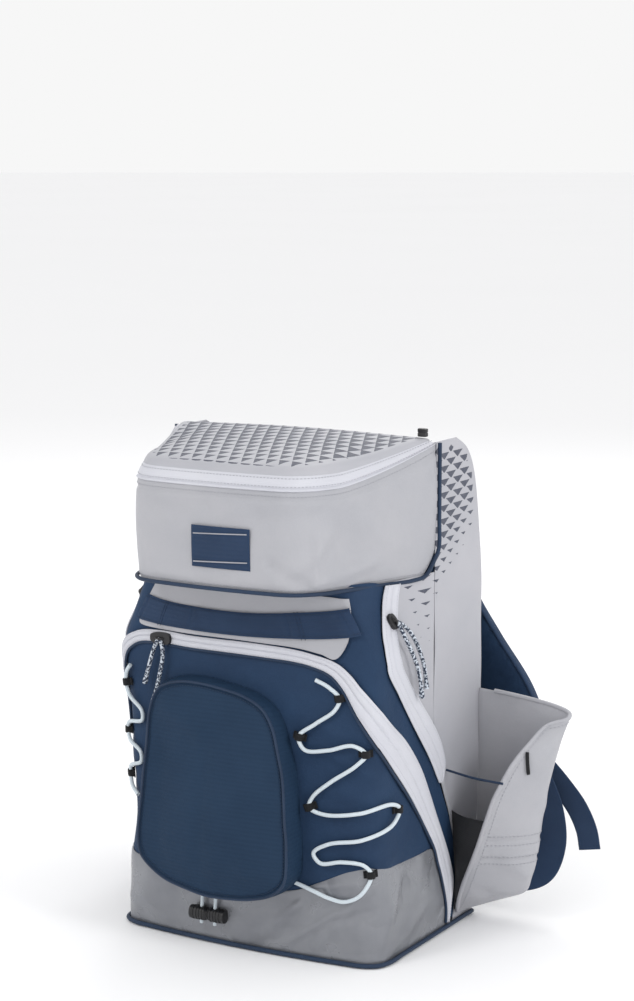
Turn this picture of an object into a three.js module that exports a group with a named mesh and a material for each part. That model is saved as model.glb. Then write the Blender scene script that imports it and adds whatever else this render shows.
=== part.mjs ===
// Baseball bat backpack, standing on its base. Millimetres, +Z up, +Y towards the wearer's back.
// The origin is the centre of the base on the floor. Every cloth panel is a thin closed sheet.
import * as THREE from 'three';
import { mergeVertices } from 'three/addons/utils/BufferGeometryUtils.js';

// Driving dimensions
const bodyHalfWidth = 150;
const bodyDepth = 204;
const frontReach = 104;
const wallHeight = 372;
const bagHeight = 500;
const clothWall = 2;
const webbingWall = 1.8;
const padWall = 8;
const seamGap = 0.35;
const baseWall = 3;
const pipingRadius = 2.2;

// Lid
const lidHalfFront = 95;
const lidHalfRear = 150;
const lidReach = 158;
const lidRear = 7;
const lidBulge = 7;
const lidBottom = 370;
const lidSeam = 470;
const lidRim = 485;
const lidCornerCut = 28;
const lidPipingRadius = 2;
const shoulderHalfFront = 103;
const shoulderReach = 112;

// Back and bat compartment
const dividerY = 8.4;
const dividerWall = 1.6;

// Small front pocket
const pouchHalfWidth = 87;
const pouchBottom = 44;
const pouchTop = 254;
const pouchDepth = 26;
const pouchCentreX = -17;

// Lacing
const laceRadius = 1.6;
const laceClearance = 2.2;
const laceCentre = 4.3;
const loopWidth = 3.8;
const loopWall = 1.4;
const loopLift = 0.5;
const cordLock = { radius: 6, length: 40 };

// Straps
const strapWidth = 66;
const strapThickness = 14;
const webbingWidth = 36;
const tailWidth = 24;
const ladderLock = { width: 44, height: 26, thickness: 6, bar: 4, crossBar: 5 };
const haulWebbing = { width: 20, thickness: 4 };

// Side pockets
const pocketWall = 2.2;
const elasticRadius = 1.2;
const gussetWall = 1.4;
const pocketTab = { width: 3, height: 18, thickness: 2.4 };
const zipTab = { length: 10, width: 7, height: 8 };

// Materials: colour, roughness and metalness of each kind of cloth and fitting
const cloth = {
  light: new THREE.MeshStandardMaterial({ color: '#c9c9d0', roughness: 0.55, metalness: 0 }),
  print: new THREE.MeshStandardMaterial({ color: '#aeb2bf', roughness: 0.6, metalness: 0 }),
  navy: new THREE.MeshStandardMaterial({ color: '#2d415d', roughness: 0.75, metalness: 0 }),
  silver: new THREE.MeshStandardMaterial({ color: '#96989e', roughness: 0.35, metalness: 0.3 }),
  tape: new THREE.MeshStandardMaterial({ color: '#e1e1eb', roughness: 0.6, metalness: 0 }),
  piping: new THREE.MeshStandardMaterial({ color: '#1e324b', roughness: 0.6, metalness: 0 }),
  black: new THREE.MeshStandardMaterial({ color: '#161616', roughness: 0.7, metalness: 0 }),
  cord: new THREE.MeshStandardMaterial({ color: '#d7e4eb', roughness: 0.7, metalness: 0 }),
  moulded: new THREE.MeshStandardMaterial({ color: '#141414', roughness: 0.4, metalness: 0 }),
};

const bag = new THREE.Group();

function addPiece(name, geometry, material) {
  const mesh = new THREE.Mesh(geometry, material);
  mesh.name = name;
  bag.add(mesh);
  return mesh;
}

const clamp = THREE.MathUtils.clamp;
const mix = THREE.MathUtils.lerp;

// A value from a table of rows, smooth between the rows, found by the rows' own 'up' column.
function readRows(rows, column, up) {
  const last = rows.length - 1;
  let i = 0;
  while (i < last - 1 && rows[i + 1].up < up) i += 1;
  const t = clamp((up - rows[i].up) / (rows[i + 1].up - rows[i].up), 0, 1);
  return mix(rows[i][column], rows[i + 1][column], t * t * (3 - 2 * t));
}

// A smooth curve through one pair of columns, by place in the table from 0 to 1.
function edgeCurve(rows, aroundColumn, upColumn) {
  const points = rows.map((row) => new THREE.Vector2(row[aroundColumn], row[upColumn]));
  return new THREE.SplineCurve(points);
}

// The same rows for the other side of the bag, in the opposite order.
function mirrored(rows, aroundColumns) {
  return [...rows].reverse().map((row) => {
    const copy = { ...row };
    for (const column of aroundColumns) copy[column] = -row[column];
    return copy;
  });
}

// Closed geometry from points and triangles, turned so that its faces point out.
function closedGeometry(points, triangles) {
  let volume = 0;
  for (let i = 0; i < triangles.length; i += 3) {
    const [a, b, c] = [points[triangles[i]], points[triangles[i + 1]], points[triangles[i + 2]]];
    volume += a.dot(new THREE.Vector3().crossVectors(b, c));
  }
  const order = volume > 0 ? triangles : [...triangles].reverse();
  const geometry = new THREE.BufferGeometry().setFromPoints(points);
  geometry.setIndex(order);
  return geometry;
}

// A closed sheet: outer(u, v) is its outer face and inner(u, v) its inner face, joined by four rims.
function sheetGeometry(outer, inner, uSteps, vSteps) {
  const points = [];
  const triangles = [];
  const columns = vSteps + 1;
  for (const face of [outer, inner]) {
    for (let i = 0; i <= uSteps; i += 1) {
      for (let j = 0; j <= vSteps; j += 1) points.push(face(i / uSteps, j / vSteps));
    }
  }
  const half = (uSteps + 1) * columns;
  const quad = (a, b, c, d) => triangles.push(a, b, c, a, c, d);
  const at = (i, j) => i * columns + j;
  for (let i = 0; i < uSteps; i += 1) {
    for (let j = 0; j < vSteps; j += 1) {
      quad(at(i, j), at(i + 1, j), at(i + 1, j + 1), at(i, j + 1));
      quad(half + at(i, j), half + at(i, j + 1), half + at(i + 1, j + 1), half + at(i + 1, j));
    }
    quad(at(i, 0), half + at(i, 0), half + at(i + 1, 0), at(i + 1, 0));
    quad(at(i, vSteps), at(i + 1, vSteps), half + at(i + 1, vSteps), half + at(i, vSteps));
  }
  for (let j = 0; j < vSteps; j += 1) {
    quad(at(0, j), at(0, j + 1), half + at(0, j + 1), half + at(0, j));
    quad(at(uSteps, j), half + at(uSteps, j), half + at(uSteps, j + 1), at(uSteps, j + 1));
  }
  return closedGeometry(points, triangles);
}

// The unit normal of surface(u, v) by small differences that stay inside the sheet.
function surfaceNormal(surface, u, v) {
  const step = 0.002;
  const u0 = clamp(u, step, 1 - step);
  const v0 = clamp(v, step, 1 - step);
  const du = surface(u0 + step, v0).sub(surface(u0 - step, v0));
  const dv = surface(u0, v0 + step).sub(surface(u0, v0 - step));
  return du.cross(dv).normalize();
}

// A sheet of even wall behind surface(u, v); side is 1 where du x dv points out of the bag.
function wallSheet(surface, side, wall, lift, uSteps, vSteps) {
  const at = (height) => (u, v) => surface(u, v).addScaledVector(surfaceNormal(surface, u, v), side * height);
  return sheetGeometry(at(lift), at(lift - wall), uSteps, vSteps);
}

// A box standing on surface(u, v) at one place: its width runs towards the surface's steepest rise.
function boxOnSurface(surface, side, place, length, width, thickness) {
  const normal = surfaceNormal(surface, place.u, place.v).multiplyScalar(side);
  const rise = Math.abs(normal.z) > 0.8 ? new THREE.Vector3(0, 1, 0) : new THREE.Vector3(0, 0, 1);
  const upward = rise.addScaledVector(normal, -rise.dot(normal)).normalize();
  const across = upward.clone().cross(normal);
  const centre = surface(place.u, place.v).addScaledVector(normal, thickness / 2 + seamGap);
  const box = new THREE.BoxGeometry(length, width, thickness);
  box.applyMatrix4(new THREE.Matrix4().makeBasis(across, upward, normal).setPosition(centre));
  return bareGeometry(box);
}

// A round cord or piping along a smooth curve through the points.
function cordGeometry(points, radius, sides, steps) {
  const path = new THREE.CatmullRomCurve3(points, false, 'centripetal');
  const shape = new THREE.Shape(circlePoints(radius, sides));
  return bareGeometry(new THREE.ExtrudeGeometry(shape, { steps, bevelEnabled: false, extrudePath: path }));
}

function circlePoints(radius, sides) {
  const points = [];
  for (let i = 0; i < sides; i += 1) {
    const angle = (2 * Math.PI * i) / sides;
    points.push(new THREE.Vector2(radius * Math.cos(angle), radius * Math.sin(angle)));
  }
  return points;
}

// Only positions, with shared corners merged.
function bareGeometry(geometry) {
  const bare = geometry.index ? geometry : geometry.clone();
  bare.deleteAttribute('normal');
  bare.deleteAttribute('uv');
  return mergeVertices(bare, 1e-3);
}

// Body outline: shares of bodyHalfWidth, frontReach, bodyDepth and bodyHalfWidth by share of wallHeight
const bodyRows = [
  { up: 0, left: 0.985, right: 0.985, forward: 1, bulge: 0.05, corner: 0.14 },
  { up: 0.15, left: 0.98, right: 0.99, forward: 1.01, bulge: 0.07, corner: 0.16 },
  { up: 0.34, left: 0.93, right: 0.985, forward: 1.02, bulge: 0.085, corner: 0.18 },
  { up: 0.55, left: 0.95, right: 0.985, forward: 1.02, bulge: 0.075, corner: 0.16 },
  { up: 0.78, left: 0.99, right: 0.99, forward: 1.02, bulge: 0.04, corner: 0.13 },
  { up: 1, left: 0.985, right: 0.985, forward: 1, bulge: 0.03, corner: 0.16 },
];

// Back edge of the side walls: shares of bodyDepth behind the middle, by share of bagHeight
const rearRows = [
  { up: 0, back: 0.49 },
  { up: 0.2, back: 0.545 },
  { up: 0.45, back: 0.57 },
  { up: 0.69, back: 0.56 },
  { up: 0.82, back: 0.52 },
  { up: 0.905, back: 0.48 },
  { up: 0.96, back: 0.425 },
  { up: 0.99, back: 0.34 },
  { up: 1, back: 0.27 },
];

// The side walls stand at this share of bodyHalfWidth; a pinch at the front corner ends pinchReach behind it
const sideShare = 0.985;
const pinchReach = 0.35;

const rearY = (z) => bodyDepth * readRows(rearRows, 'back', z / bagHeight);
const aroundAtY = (y) => 1 + (y + frontReach) / bodyDepth;

// The bag's skin. around runs from 0 at the middle of the front to 1 at the front corner and on along
// the side, negative on the left; up is the share of wallHeight. Above the shoulder the corner leans in.
function skinBase(around, up) {
  const side = Math.sign(around) || 1;
  const a = Math.abs(around);
  const pinched = readRows(bodyRows, side < 0 ? 'left' : 'right', clamp(up, 0, 1));
  const half = bodyHalfWidth * mix(pinched, sideShare, clamp((a - 1) / pinchReach, 0, 1));
  const front = frontReach * readRows(bodyRows, 'forward', clamp(up, 0, 1));
  const bulge = bodyDepth * readRows(bodyRows, 'bulge', clamp(up, 0, 1));
  const radius = bodyHalfWidth * readRows(bodyRows, 'corner', clamp(up, 0, 1));
  const alongFront = radius / bodyHalfWidth;
  const alongSide = radius / bodyDepth;
  let x;
  let y;
  if (a < 1 - alongFront) {
    x = a * half;
    y = -front;
  } else if (a > 1 + alongSide) {
    x = half;
    y = -frontReach + (a - 1) * bodyDepth;
  } else {
    const t = (a - 1 + alongFront) / (alongFront + alongSide);
    const start = new THREE.Vector2((1 - alongFront) * half, -front);
    const end = new THREE.Vector2(half, -frontReach + radius);
    x = (1 - t) * (1 - t) * start.x + 2 * t * (1 - t) * half + t * t * end.x;
    y = (1 - t) * (1 - t) * start.y + 2 * t * (1 - t) * -front + t * t * end.y;
  }
  y -= a < 1 ? bulge * (1 - (x / half) ** 2) : 0;
  const lean = clamp((up - 0.8) / 0.2, 0, 1) ** 1.3;
  const topX = a < 1 ? a * shoulderHalfFront : mix(shoulderHalfFront, half, clamp((a - 1) / 0.55, 0, 1));
  const sideY = -frontReach + (a - 1) * bodyDepth;
  const topY = a < 1 ? -shoulderReach : mix(-shoulderReach, sideY, clamp((a - 1) / 0.55, 0, 1));
  return new THREE.Vector3(side * mix(x, topX, lean), mix(y, topY, lean), up * wallHeight);
}

// A point of the skin, lifted outwards by height.
function skinPoint(around, up, height) {
  const step = 0.004;
  const da = skinBase(around + step, up).sub(skinBase(around - step, up));
  const du = skinBase(around, up + step).sub(skinBase(around, up - step));
  const normal = da.cross(du).normalize();
  return skinBase(around, up).addScaledVector(normal, height);
}

// A sewn panel of the skin between two edge curves, from share 0 to 1 along both.
function skinPanel(lower, upper, wall, lift, uSteps, vSteps) {
  const at = (height) => (u, v) => {
    const place = lower.getPoint(u).lerp(upper.getPoint(u), v);
    return skinPoint(place.x, place.y, height);
  };
  return sheetGeometry(at(lift), at(lift - wall), uSteps, vSteps);
}

// One table of ribs for the right side, from the floor up and then forward to the middle of the front.
// in and out are the two edges of the front zip tape, top is the front edge of the main zip tape or the
// panel's own end, and rear is the back edge of the main zip tape. All are shares around and up.
const ribsRight = [
  { inAround: 1.68, inUp: 0.02, outAround: 1.705, outUp: 0.02, topAround: 1.775, topUp: 0.02 },
  { inAround: 1.68, inUp: 0.07, outAround: 1.725, outUp: 0.06, topAround: 1.8, topUp: 0.07 },
  { inAround: 1.64, inUp: 0.145, outAround: 1.755, outUp: 0.125, topAround: 1.825, topUp: 0.135 },
  { inAround: 1.59, inUp: 0.205, outAround: 1.72, outUp: 0.19, topAround: 1.79, topUp: 0.215 },
  { inAround: 1.545, inUp: 0.255, outAround: 1.65, outUp: 0.262, topAround: 1.72, topUp: 0.315 },
  { inAround: 1.43, inUp: 0.335, outAround: 1.56, outUp: 0.345, topAround: 1.63, topUp: 0.41 },
  { inAround: 1.315, inUp: 0.41, outAround: 1.48, outUp: 0.42, topAround: 1.575, topUp: 0.438 },
  { inAround: 1.22, inUp: 0.465, outAround: 1.39, outUp: 0.495, topAround: 1.48, topUp: 0.51 },
  { inAround: 1.08, inUp: 0.54, outAround: 1.245, outUp: 0.58, topAround: 1.31, topUp: 0.617 },
  { inAround: 0.955, inUp: 0.61, outAround: 1.08, outUp: 0.65, topAround: 1.16, topUp: 0.715 },
  { inAround: 0.84, inUp: 0.685, outAround: 0.913, outUp: 0.73, topAround: 1.055, topUp: 0.79 },
  { inAround: 0.753, inUp: 0.74, outAround: 0.8, outUp: 0.78, topAround: 1.1, topUp: 0.855 },
  { inAround: 0.66, inUp: 0.774, outAround: 0.69, outUp: 0.808, topAround: 1.22, topUp: 0.925 },
  { inAround: 0.53, inUp: 0.79, outAround: 0.535, outUp: 0.822, topAround: 1.31, topUp: 0.978 },
  { inAround: 0.39, inUp: 0.797, outAround: 0.393, outUp: 0.829, topAround: 0.9, topUp: 0.982 },
  { inAround: 0.2, inUp: 0.799, outAround: 0.2, outUp: 0.832, topAround: 0.45, topUp: 0.994 },
];
const ribsMiddle = [
  { inAround: 0, inUp: 0.8, outAround: 0, outUp: 0.833, topAround: 0, topUp: 0.994 },
  { inAround: -0.2, inUp: 0.8, outAround: -0.2, outUp: 0.832, topAround: -0.3, topUp: 0.994 },
  { inAround: -0.4, inUp: 0.8, outAround: -0.4, outUp: 0.832, topAround: -0.55, topUp: 0.994 },
  { inAround: -0.66, inUp: 0.803, outAround: -0.66, outUp: 0.835, topAround: -0.9, topUp: 0.982 },
  { inAround: -0.82, inUp: 0.795, outAround: -0.845, outUp: 0.826, topAround: -1.31, topUp: 0.978 },
  { inAround: -0.92, inUp: 0.762, outAround: -0.97, outUp: 0.785, topAround: -1.1, topUp: 0.87 },
  { inAround: -0.98, inUp: 0.7, outAround: -1.04, outUp: 0.725, topAround: -1.075, topUp: 0.8 },
  { inAround: -1.02, inUp: 0.62, outAround: -1.12, outUp: 0.66, topAround: -1.16, topUp: 0.715 },
];
const aroundColumns = ['inAround', 'outAround', 'topAround'];
const zipRibs = [...ribsRight, ...ribsMiddle, ...mirrored(ribsRight.slice(0, 9), aroundColumns)];

// Hem between the silver base and the navy part of the front pocket, from the front zip round to itself
const hemRight = [
  { around: 1.68, up: 0.055 },
  { around: 1.655, up: 0.115 },
  { around: 1.62, up: 0.16 },
  { around: 1.59, up: 0.205 },
  { around: 1.545, up: 0.245 },
  { around: 1.4, up: 0.25 },
  { around: 1.2, up: 0.256 },
  { around: 1, up: 0.264 },
  { around: 0.93, up: 0.268 },
  { around: 0.8, up: 0.256 },
  { around: 0.58, up: 0.215 },
  { around: 0.39, up: 0.185 },
];
const hemRows = [
  ...hemRight,
  { around: 0, up: 0.165 },
  { around: -0.39, up: 0.172 },
  { around: -0.62, up: 0.185 },
  { around: -0.92, up: 0.205 },
  { around: -1, up: 0.212 },
  { around: -1.2, up: 0.232 },
  ...mirrored(hemRight.slice(0, 6), ['around']),
].reverse();

function hemUp(around) {
  let i = 0;
  while (i < hemRows.length - 2 && hemRows[i + 1].around < around) i += 1;
  const t = (around - hemRows[i].around) / (hemRows[i + 1].around - hemRows[i].around);
  return mix(hemRows[i].up, hemRows[i + 1].up, clamp(t, 0, 1));
}

// Main zip tape: front edge from the ribs' top columns, back edge here, from the lower tip up to the lid
const mainZipRows = [
  { topAround: 1.598, topUp: 0.422, rearAround: 1.62, rearUp: 0.425 },
  { topAround: 1.575, topUp: 0.438, rearAround: 1.652, rearUp: 0.481 },
  { topAround: 1.48, topUp: 0.51, rearAround: 1.57, rearUp: 0.565 },
  { topAround: 1.31, topUp: 0.617, rearAround: 1.385, rearUp: 0.672 },
  { topAround: 1.16, topUp: 0.715, rearAround: 1.25, rearUp: 0.75 },
  { topAround: 1.055, topUp: 0.79, rearAround: 1.19, rearUp: 0.805 },
  { topAround: 1.1, topUp: 0.855, rearAround: 1.225, rearUp: 0.852 },
  { topAround: 1.22, topUp: 0.925, rearAround: 1.32, rearUp: 0.92 },
  { topAround: 1.31, topUp: 0.975, rearAround: 1.38, rearUp: 0.973 },
];

// A tape lies over the edges of the two panels that it joins, and both edges stop under it.
const tapeLift = clothWall + 1;
const underFront = 0.3;
const underRear = 0.7;
const hemGap = 0.002;
const floorUp = (baseWall + seamGap) / wallHeight;

function betweenCurve(rows, share) {
  const points = rows.map((row) => new THREE.Vector2(
    mix(row.inAround, row.outAround, share),
    mix(row.inUp, row.outUp, share),
  ));
  return new THREE.SplineCurve(points);
}

function buildFrontPocket() {
  const hemmed = zipRibs.filter((row) => row.inUp >= 0.25);
  const hem = hemmed.map((row) => {
    const around = row.inAround * (Math.abs(row.inAround) < 1 ? 0.97 : 1);
    return { around, up: hemUp(around) + hemGap };
  });
  const upper = betweenCurve(hemmed, underFront);
  addPiece('front_pocket', skinPanel(edgeCurve(hem, 'around', 'up'), upper, clothWall, 0, 48, 3), cloth.navy);

  const rows = hemRows.map((row) => ({ around: row.around, up: row.up - hemGap, floor: floorUp }));
  const low = edgeCurve(rows, 'around', 'floor');
  const high = edgeCurve(rows, 'around', 'up');
  addPiece('front_pocket_base', skinPanel(low, high, clothWall, 0, 42, 2), cloth.silver);

  const inner = edgeCurve(zipRibs, 'inAround', 'inUp');
  const outer = edgeCurve(zipRibs, 'outAround', 'outUp');
  addPiece('front_pocket_zip', skinPanel(inner, outer, clothWall, tapeLift, 64, 2), cloth.tape);
}

function buildMainPanels() {
  const low = betweenCurve(zipRibs, underRear);
  const tapeShare = 0.3;
  const topPoints = zipRibs.map((row) => {
    const side = Math.sign(row.topAround);
    const reach = row.topUp > 0.43 && row.topUp < 0.93 ? 0.018 : 0;
    return new THREE.Vector2(row.topAround + side * reach * tapeShare * 2, row.topUp + reach * tapeShare);
  });
  const high = new THREE.SplineCurve(topPoints);
  addPiece('front_panel', skinPanel(low, high, clothWall, 0, 64, 3), cloth.navy);

  for (const [name, side] of [['right', 1], ['left', -1]]) {
    const rows = side > 0 ? mainZipRows : mirrored(mainZipRows, ['topAround', 'rearAround']);
    const front = edgeCurve(rows, 'topAround', 'topUp');
    const rear = edgeCurve(rows, 'rearAround', 'rearUp');
    const tape = skinPanel(front, rear, clothWall, tapeLift, 16, 1);
    addPiece(`main_zip_${name}`, tape, cloth.tape);
    buildSide(name, side);
  }
}

// The grey side wall below the lid, and the printed side wall of the bat compartment behind it
function buildSide(name, side) {
  const seamAround = aroundAtY(dividerY + dividerWall / 2);
  const sideRows = [
    { frontAround: 1.528, frontUp: 0.585, rearUp: 0.59 },
    { frontAround: 1.36, frontUp: 0.675, rearUp: 0.68 },
    { frontAround: 1.215, frontUp: 0.755, rearUp: 0.76 },
    { frontAround: 1.16, frontUp: 0.805, rearUp: 0.82 },
    { frontAround: 1.19, frontUp: 0.855, rearUp: 0.88 },
    { frontAround: 1.28, frontUp: 0.925, rearUp: 0.95 },
    { frontAround: 1.36, frontUp: 0.975, rearUp: 0.985 },
  ];
  const frontPoints = sideRows.map((row) => new THREE.Vector2(side * row.frontAround, row.frontUp));
  const rearPoints = sideRows.map((row) => new THREE.Vector2(side * (seamAround - 0.002), row.rearUp));
  const sideFront = new THREE.SplineCurve(frontPoints);
  const sideRear = new THREE.SplineCurve(rearPoints);
  addPiece(`side_panel_${name}`, skinPanel(sideFront, sideRear, clothWall, 0, 8, 3), cloth.light);

  const batTop = bagHeight / wallHeight;
  const batRows = [
    { frontAround: 1.785, up: floorUp },
    { frontAround: 1.812, up: 0.07 },
    { frontAround: 1.837, up: 0.135 },
    { frontAround: 1.805, up: 0.215 },
    { frontAround: 1.735, up: 0.32 },
    { frontAround: 1.65, up: 0.415 },
    { frontAround: 1.63, up: 0.47 },
    { frontAround: 1.59, up: 0.53 },
    { frontAround: 1.559, up: 0.6 },
    { frontAround: 1.559, up: 0.595 * batTop },
    { frontAround: 1.559, up: 0.744 * batTop },
    { frontAround: 1.559, up: 0.856 * batTop },
    { frontAround: 1.559, up: 0.93 * batTop },
    { frontAround: 1.559, up: 0.975 * batTop },
    { frontAround: 1.559, up: batTop },
  ];
  const batFront = batRows.map((row) => new THREE.Vector2(side * row.frontAround, row.up));
  const rearAround = (up) => aroundAtY(rearY(up * wallHeight));
  const batRear = batRows.map((row) => new THREE.Vector2(side * rearAround(row.up), row.up));
  const bat = skinPanel(new THREE.SplineCurve(batFront), new THREE.SplineCurve(batRear), clothWall, 0, 18, 3);
  addPiece(`bat_side_${name}`, bat, cloth.print);
}

function buildBaseAndBack() {
  const outline = new THREE.Shape();
  const steps = 20;
  const inset = -0.4;
  const start = skinPoint(-2, 0, inset);
  outline.moveTo(start.x, start.y);
  for (let i = 1; i <= 2 * steps; i += 1) {
    const point = skinPoint(-2 + (4 * i) / (2 * steps), 0, inset);
    outline.lineTo(point.x, point.y);
  }
  const base = bareGeometry(new THREE.ExtrudeGeometry(outline, { depth: baseWall, bevelEnabled: false }));
  addPiece('base_panel', base, cloth.silver);

  const pipingLift = pipingRadius + 2 * seamGap;
  const pipingUp = (pipingRadius + 1) / wallHeight;
  const route = [];
  for (let i = 0; i <= 36; i += 1) route.push(skinPoint(-1.97 + (3.94 * i) / 36, pipingUp, pipingLift));
  addPiece('bottom_piping', cordGeometry(route, pipingRadius, 5, 42), cloth.piping);

  const inside = bodyHalfWidth * sideShare - clothWall - seamGap;
  const backTop = 0.965 * bagHeight;
  const backSurface = (u, v) => {
    const z = mix(baseWall + seamGap, backTop, v);
    return new THREE.Vector3(mix(inside, -inside, u), rearY(z) - seamGap, z);
  };
  addPiece('back_panel', wallSheet(backSurface, 1, padWall, 0, 2, 14), cloth.light);

  const dividerHeight = bagHeight - 1 - baseWall - seamGap;
  const divider = new THREE.BoxGeometry(2 * inside, dividerWall, dividerHeight);
  divider.translate(0, dividerY + dividerWall / 2, baseWall + seamGap + dividerHeight / 2);
  addPiece('bat_divider', bareGeometry(divider), cloth.navy);
}

// Lid outline in plan: side is 0 at the middle of the front, 1 at the front corner and 2 at the rear end.
function lidPlan(around, inset) {
  const side = Math.sign(around) || 1;
  const a = Math.abs(around);
  const corner = new THREE.Vector2(lidHalfFront, -lidReach);
  const rear = new THREE.Vector2(lidHalfRear, lidRear);
  const sideLength = corner.distanceTo(rear);
  const frontCut = lidCornerCut / lidHalfFront;
  const sideCut = lidCornerCut / sideLength;
  const point = new THREE.Vector2();
  if (a < 1 - frontCut) {
    point.set(a * lidHalfFront, -lidReach);
  } else if (a > 1 + sideCut) {
    point.lerpVectors(corner, rear, a - 1);
  } else {
    const t = (a - 1 + frontCut) / (frontCut + sideCut);
    const from = new THREE.Vector2((1 - frontCut) * lidHalfFront, -lidReach);
    const to = new THREE.Vector2().lerpVectors(corner, rear, sideCut);
    point.addScaledVector(from, (1 - t) * (1 - t));
    point.addScaledVector(corner, 2 * t * (1 - t));
    point.addScaledVector(to, t * t);
  }
  point.y -= a < 1 ? lidBulge * (1 - a * a) : 0;
  const centre = new THREE.Vector2(0, lidRear);
  const reach = point.distanceTo(centre);
  point.lerp(centre, inset / reach);
  point.x *= side;
  return point;
}

const lidRearRise = 28;
function lidBottomZ(around) {
  const late = clamp((Math.abs(around) - 1.85) / 0.15, 0, 1);
  return lidBottom - 3 * clamp(Math.abs(around) - 1, 0, 0.85) + lidRearRise * late * late;
}

function lidSeamZ(around) {
  const rise = clamp((Math.abs(around) - 1.25) / 0.75, 0, 1);
  return lidSeam + (bagHeight - lidSeam + 2) * rise ** 1.4;
}

function lidRimZ(around) {
  const rise = clamp((Math.abs(around) - 1.25) / 0.75, 0, 1);
  return mix(lidRim, bagHeight + 5, rise ** 1.3);
}

const lidEnd = 1.985;
const lidRimInset = 7;
const lidFloorEnd = 1.25;

function buildLid() {
  const bellyDepth = 3;
  const front = (u, v) => {
    const around = mix(-lidEnd, lidEnd, u);
    const point = lidPlan(around, -bellyDepth * Math.sin(Math.PI * v));
    return new THREE.Vector3(point.x, point.y, mix(lidBottomZ(around), lidSeamZ(around) - seamGap, v));
  };
  addPiece('lid_front', wallSheet(front, 1, clothWall, 0, 28, 3), cloth.light);

  const tape = (u, v) => {
    const around = mix(-lidEnd, lidEnd, u);
    const point = lidPlan(around, lidRimInset * v * v);
    const upper = lidRimZ(around) - clothWall - 2 * seamGap;
    return new THREE.Vector3(point.x, point.y, mix(lidSeamZ(around), upper, v));
  };
  addPiece('lid_zip', wallSheet(tape, 1, clothWall, 0, 28, 1), cloth.tape);

  const crown = 4;
  const top = (u, v) => {
    const around = mix(-lidEnd + 0.03, lidEnd - 0.03, u);
    const rim = lidPlan(around, lidRimInset - 1);
    const rearX = (2 * u - 1) * (lidHalfRear - 8);
    const x = mix(rim.x, rearX, v);
    const y = mix(rim.y, lidRear, v);
    const rise = crown * Math.sin(Math.PI * u) * Math.sin(Math.PI * v * 0.7);
    return new THREE.Vector3(x, y, mix(lidRimZ(around), bagHeight + 5, v ** 0.9) + rise);
  };
  addPiece('lid_top', wallSheet(top, 1, clothWall, 0, 18, 4), cloth.print);

  const floor = (height) => (u, v) => {
    const around = mix(-lidFloorEnd, lidFloorEnd, u);
    const outside = lidPlan(around, clothWall + 3);
    const body = skinPoint(around * 0.93, 0.985, -clothWall / 2);
    return new THREE.Vector3(mix(outside.x, body.x, v), mix(outside.y, body.y, v), lidBottom + 2.2 + height);
  };
  addPiece('lid_floor', sheetGeometry(floor(0), floor(-clothWall), 20, 1), cloth.light);

  const pipingLift = -(lidPipingRadius + 2 * seamGap);
  const route = [];
  const corners = [-2, -1.97, -1.9, -1.8];
  for (let i = 0; i <= 26; i += 1) corners.push(-1.65 + (3.3 * i) / 26);
  corners.push(1.8, 1.9, 1.97, 2);
  const endX = lidHalfRear + lidPipingRadius + 0.4;
  const riseShares = [0, 0.31, 0.58];
  const riseZ = riseShares.map((share) => mix(bagHeight, lidBottom, share));
  for (const z of riseZ) route.push(new THREE.Vector3(-endX, lidRear + 1.2, z));
  for (const around of corners) {
    const point = lidPlan(around, pipingLift);
    route.push(new THREE.Vector3(point.x, point.y, lidBottomZ(around) + 1));
  }
  for (const z of [...riseZ].reverse()) route.push(new THREE.Vector3(endX, lidRear + 1.2, z));
  addPiece('lid_piping', cordGeometry(route, lidPipingRadius, 5, 52), cloth.piping);

  const patch = { left: -21, right: 43, low: 391, high: 431, wall: 1 };
  const patchSurface = (u, v) => {
    const x = mix(patch.left, patch.right, u);
    const z = mix(patch.low, patch.high, v);
    const around = x / lidHalfFront;
    const share = (z - lidBottomZ(around)) / (lidSeamZ(around) - lidBottomZ(around));
    const point = lidPlan(around, -bellyDepth * Math.sin(Math.PI * share));
    return new THREE.Vector3(x, point.y, z);
  };
  addPiece('patch', wallSheet(patchSurface, 1, patch.wall, patch.wall + seamGap, 4, 4), cloth.navy);

  const tab = boxOnSurface(top, 1, { u: 0.975, v: 0.95 }, zipTab.length, zipTab.width, zipTab.height);
  addPiece('zip_tab', tab, cloth.moulded);
}

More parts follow.
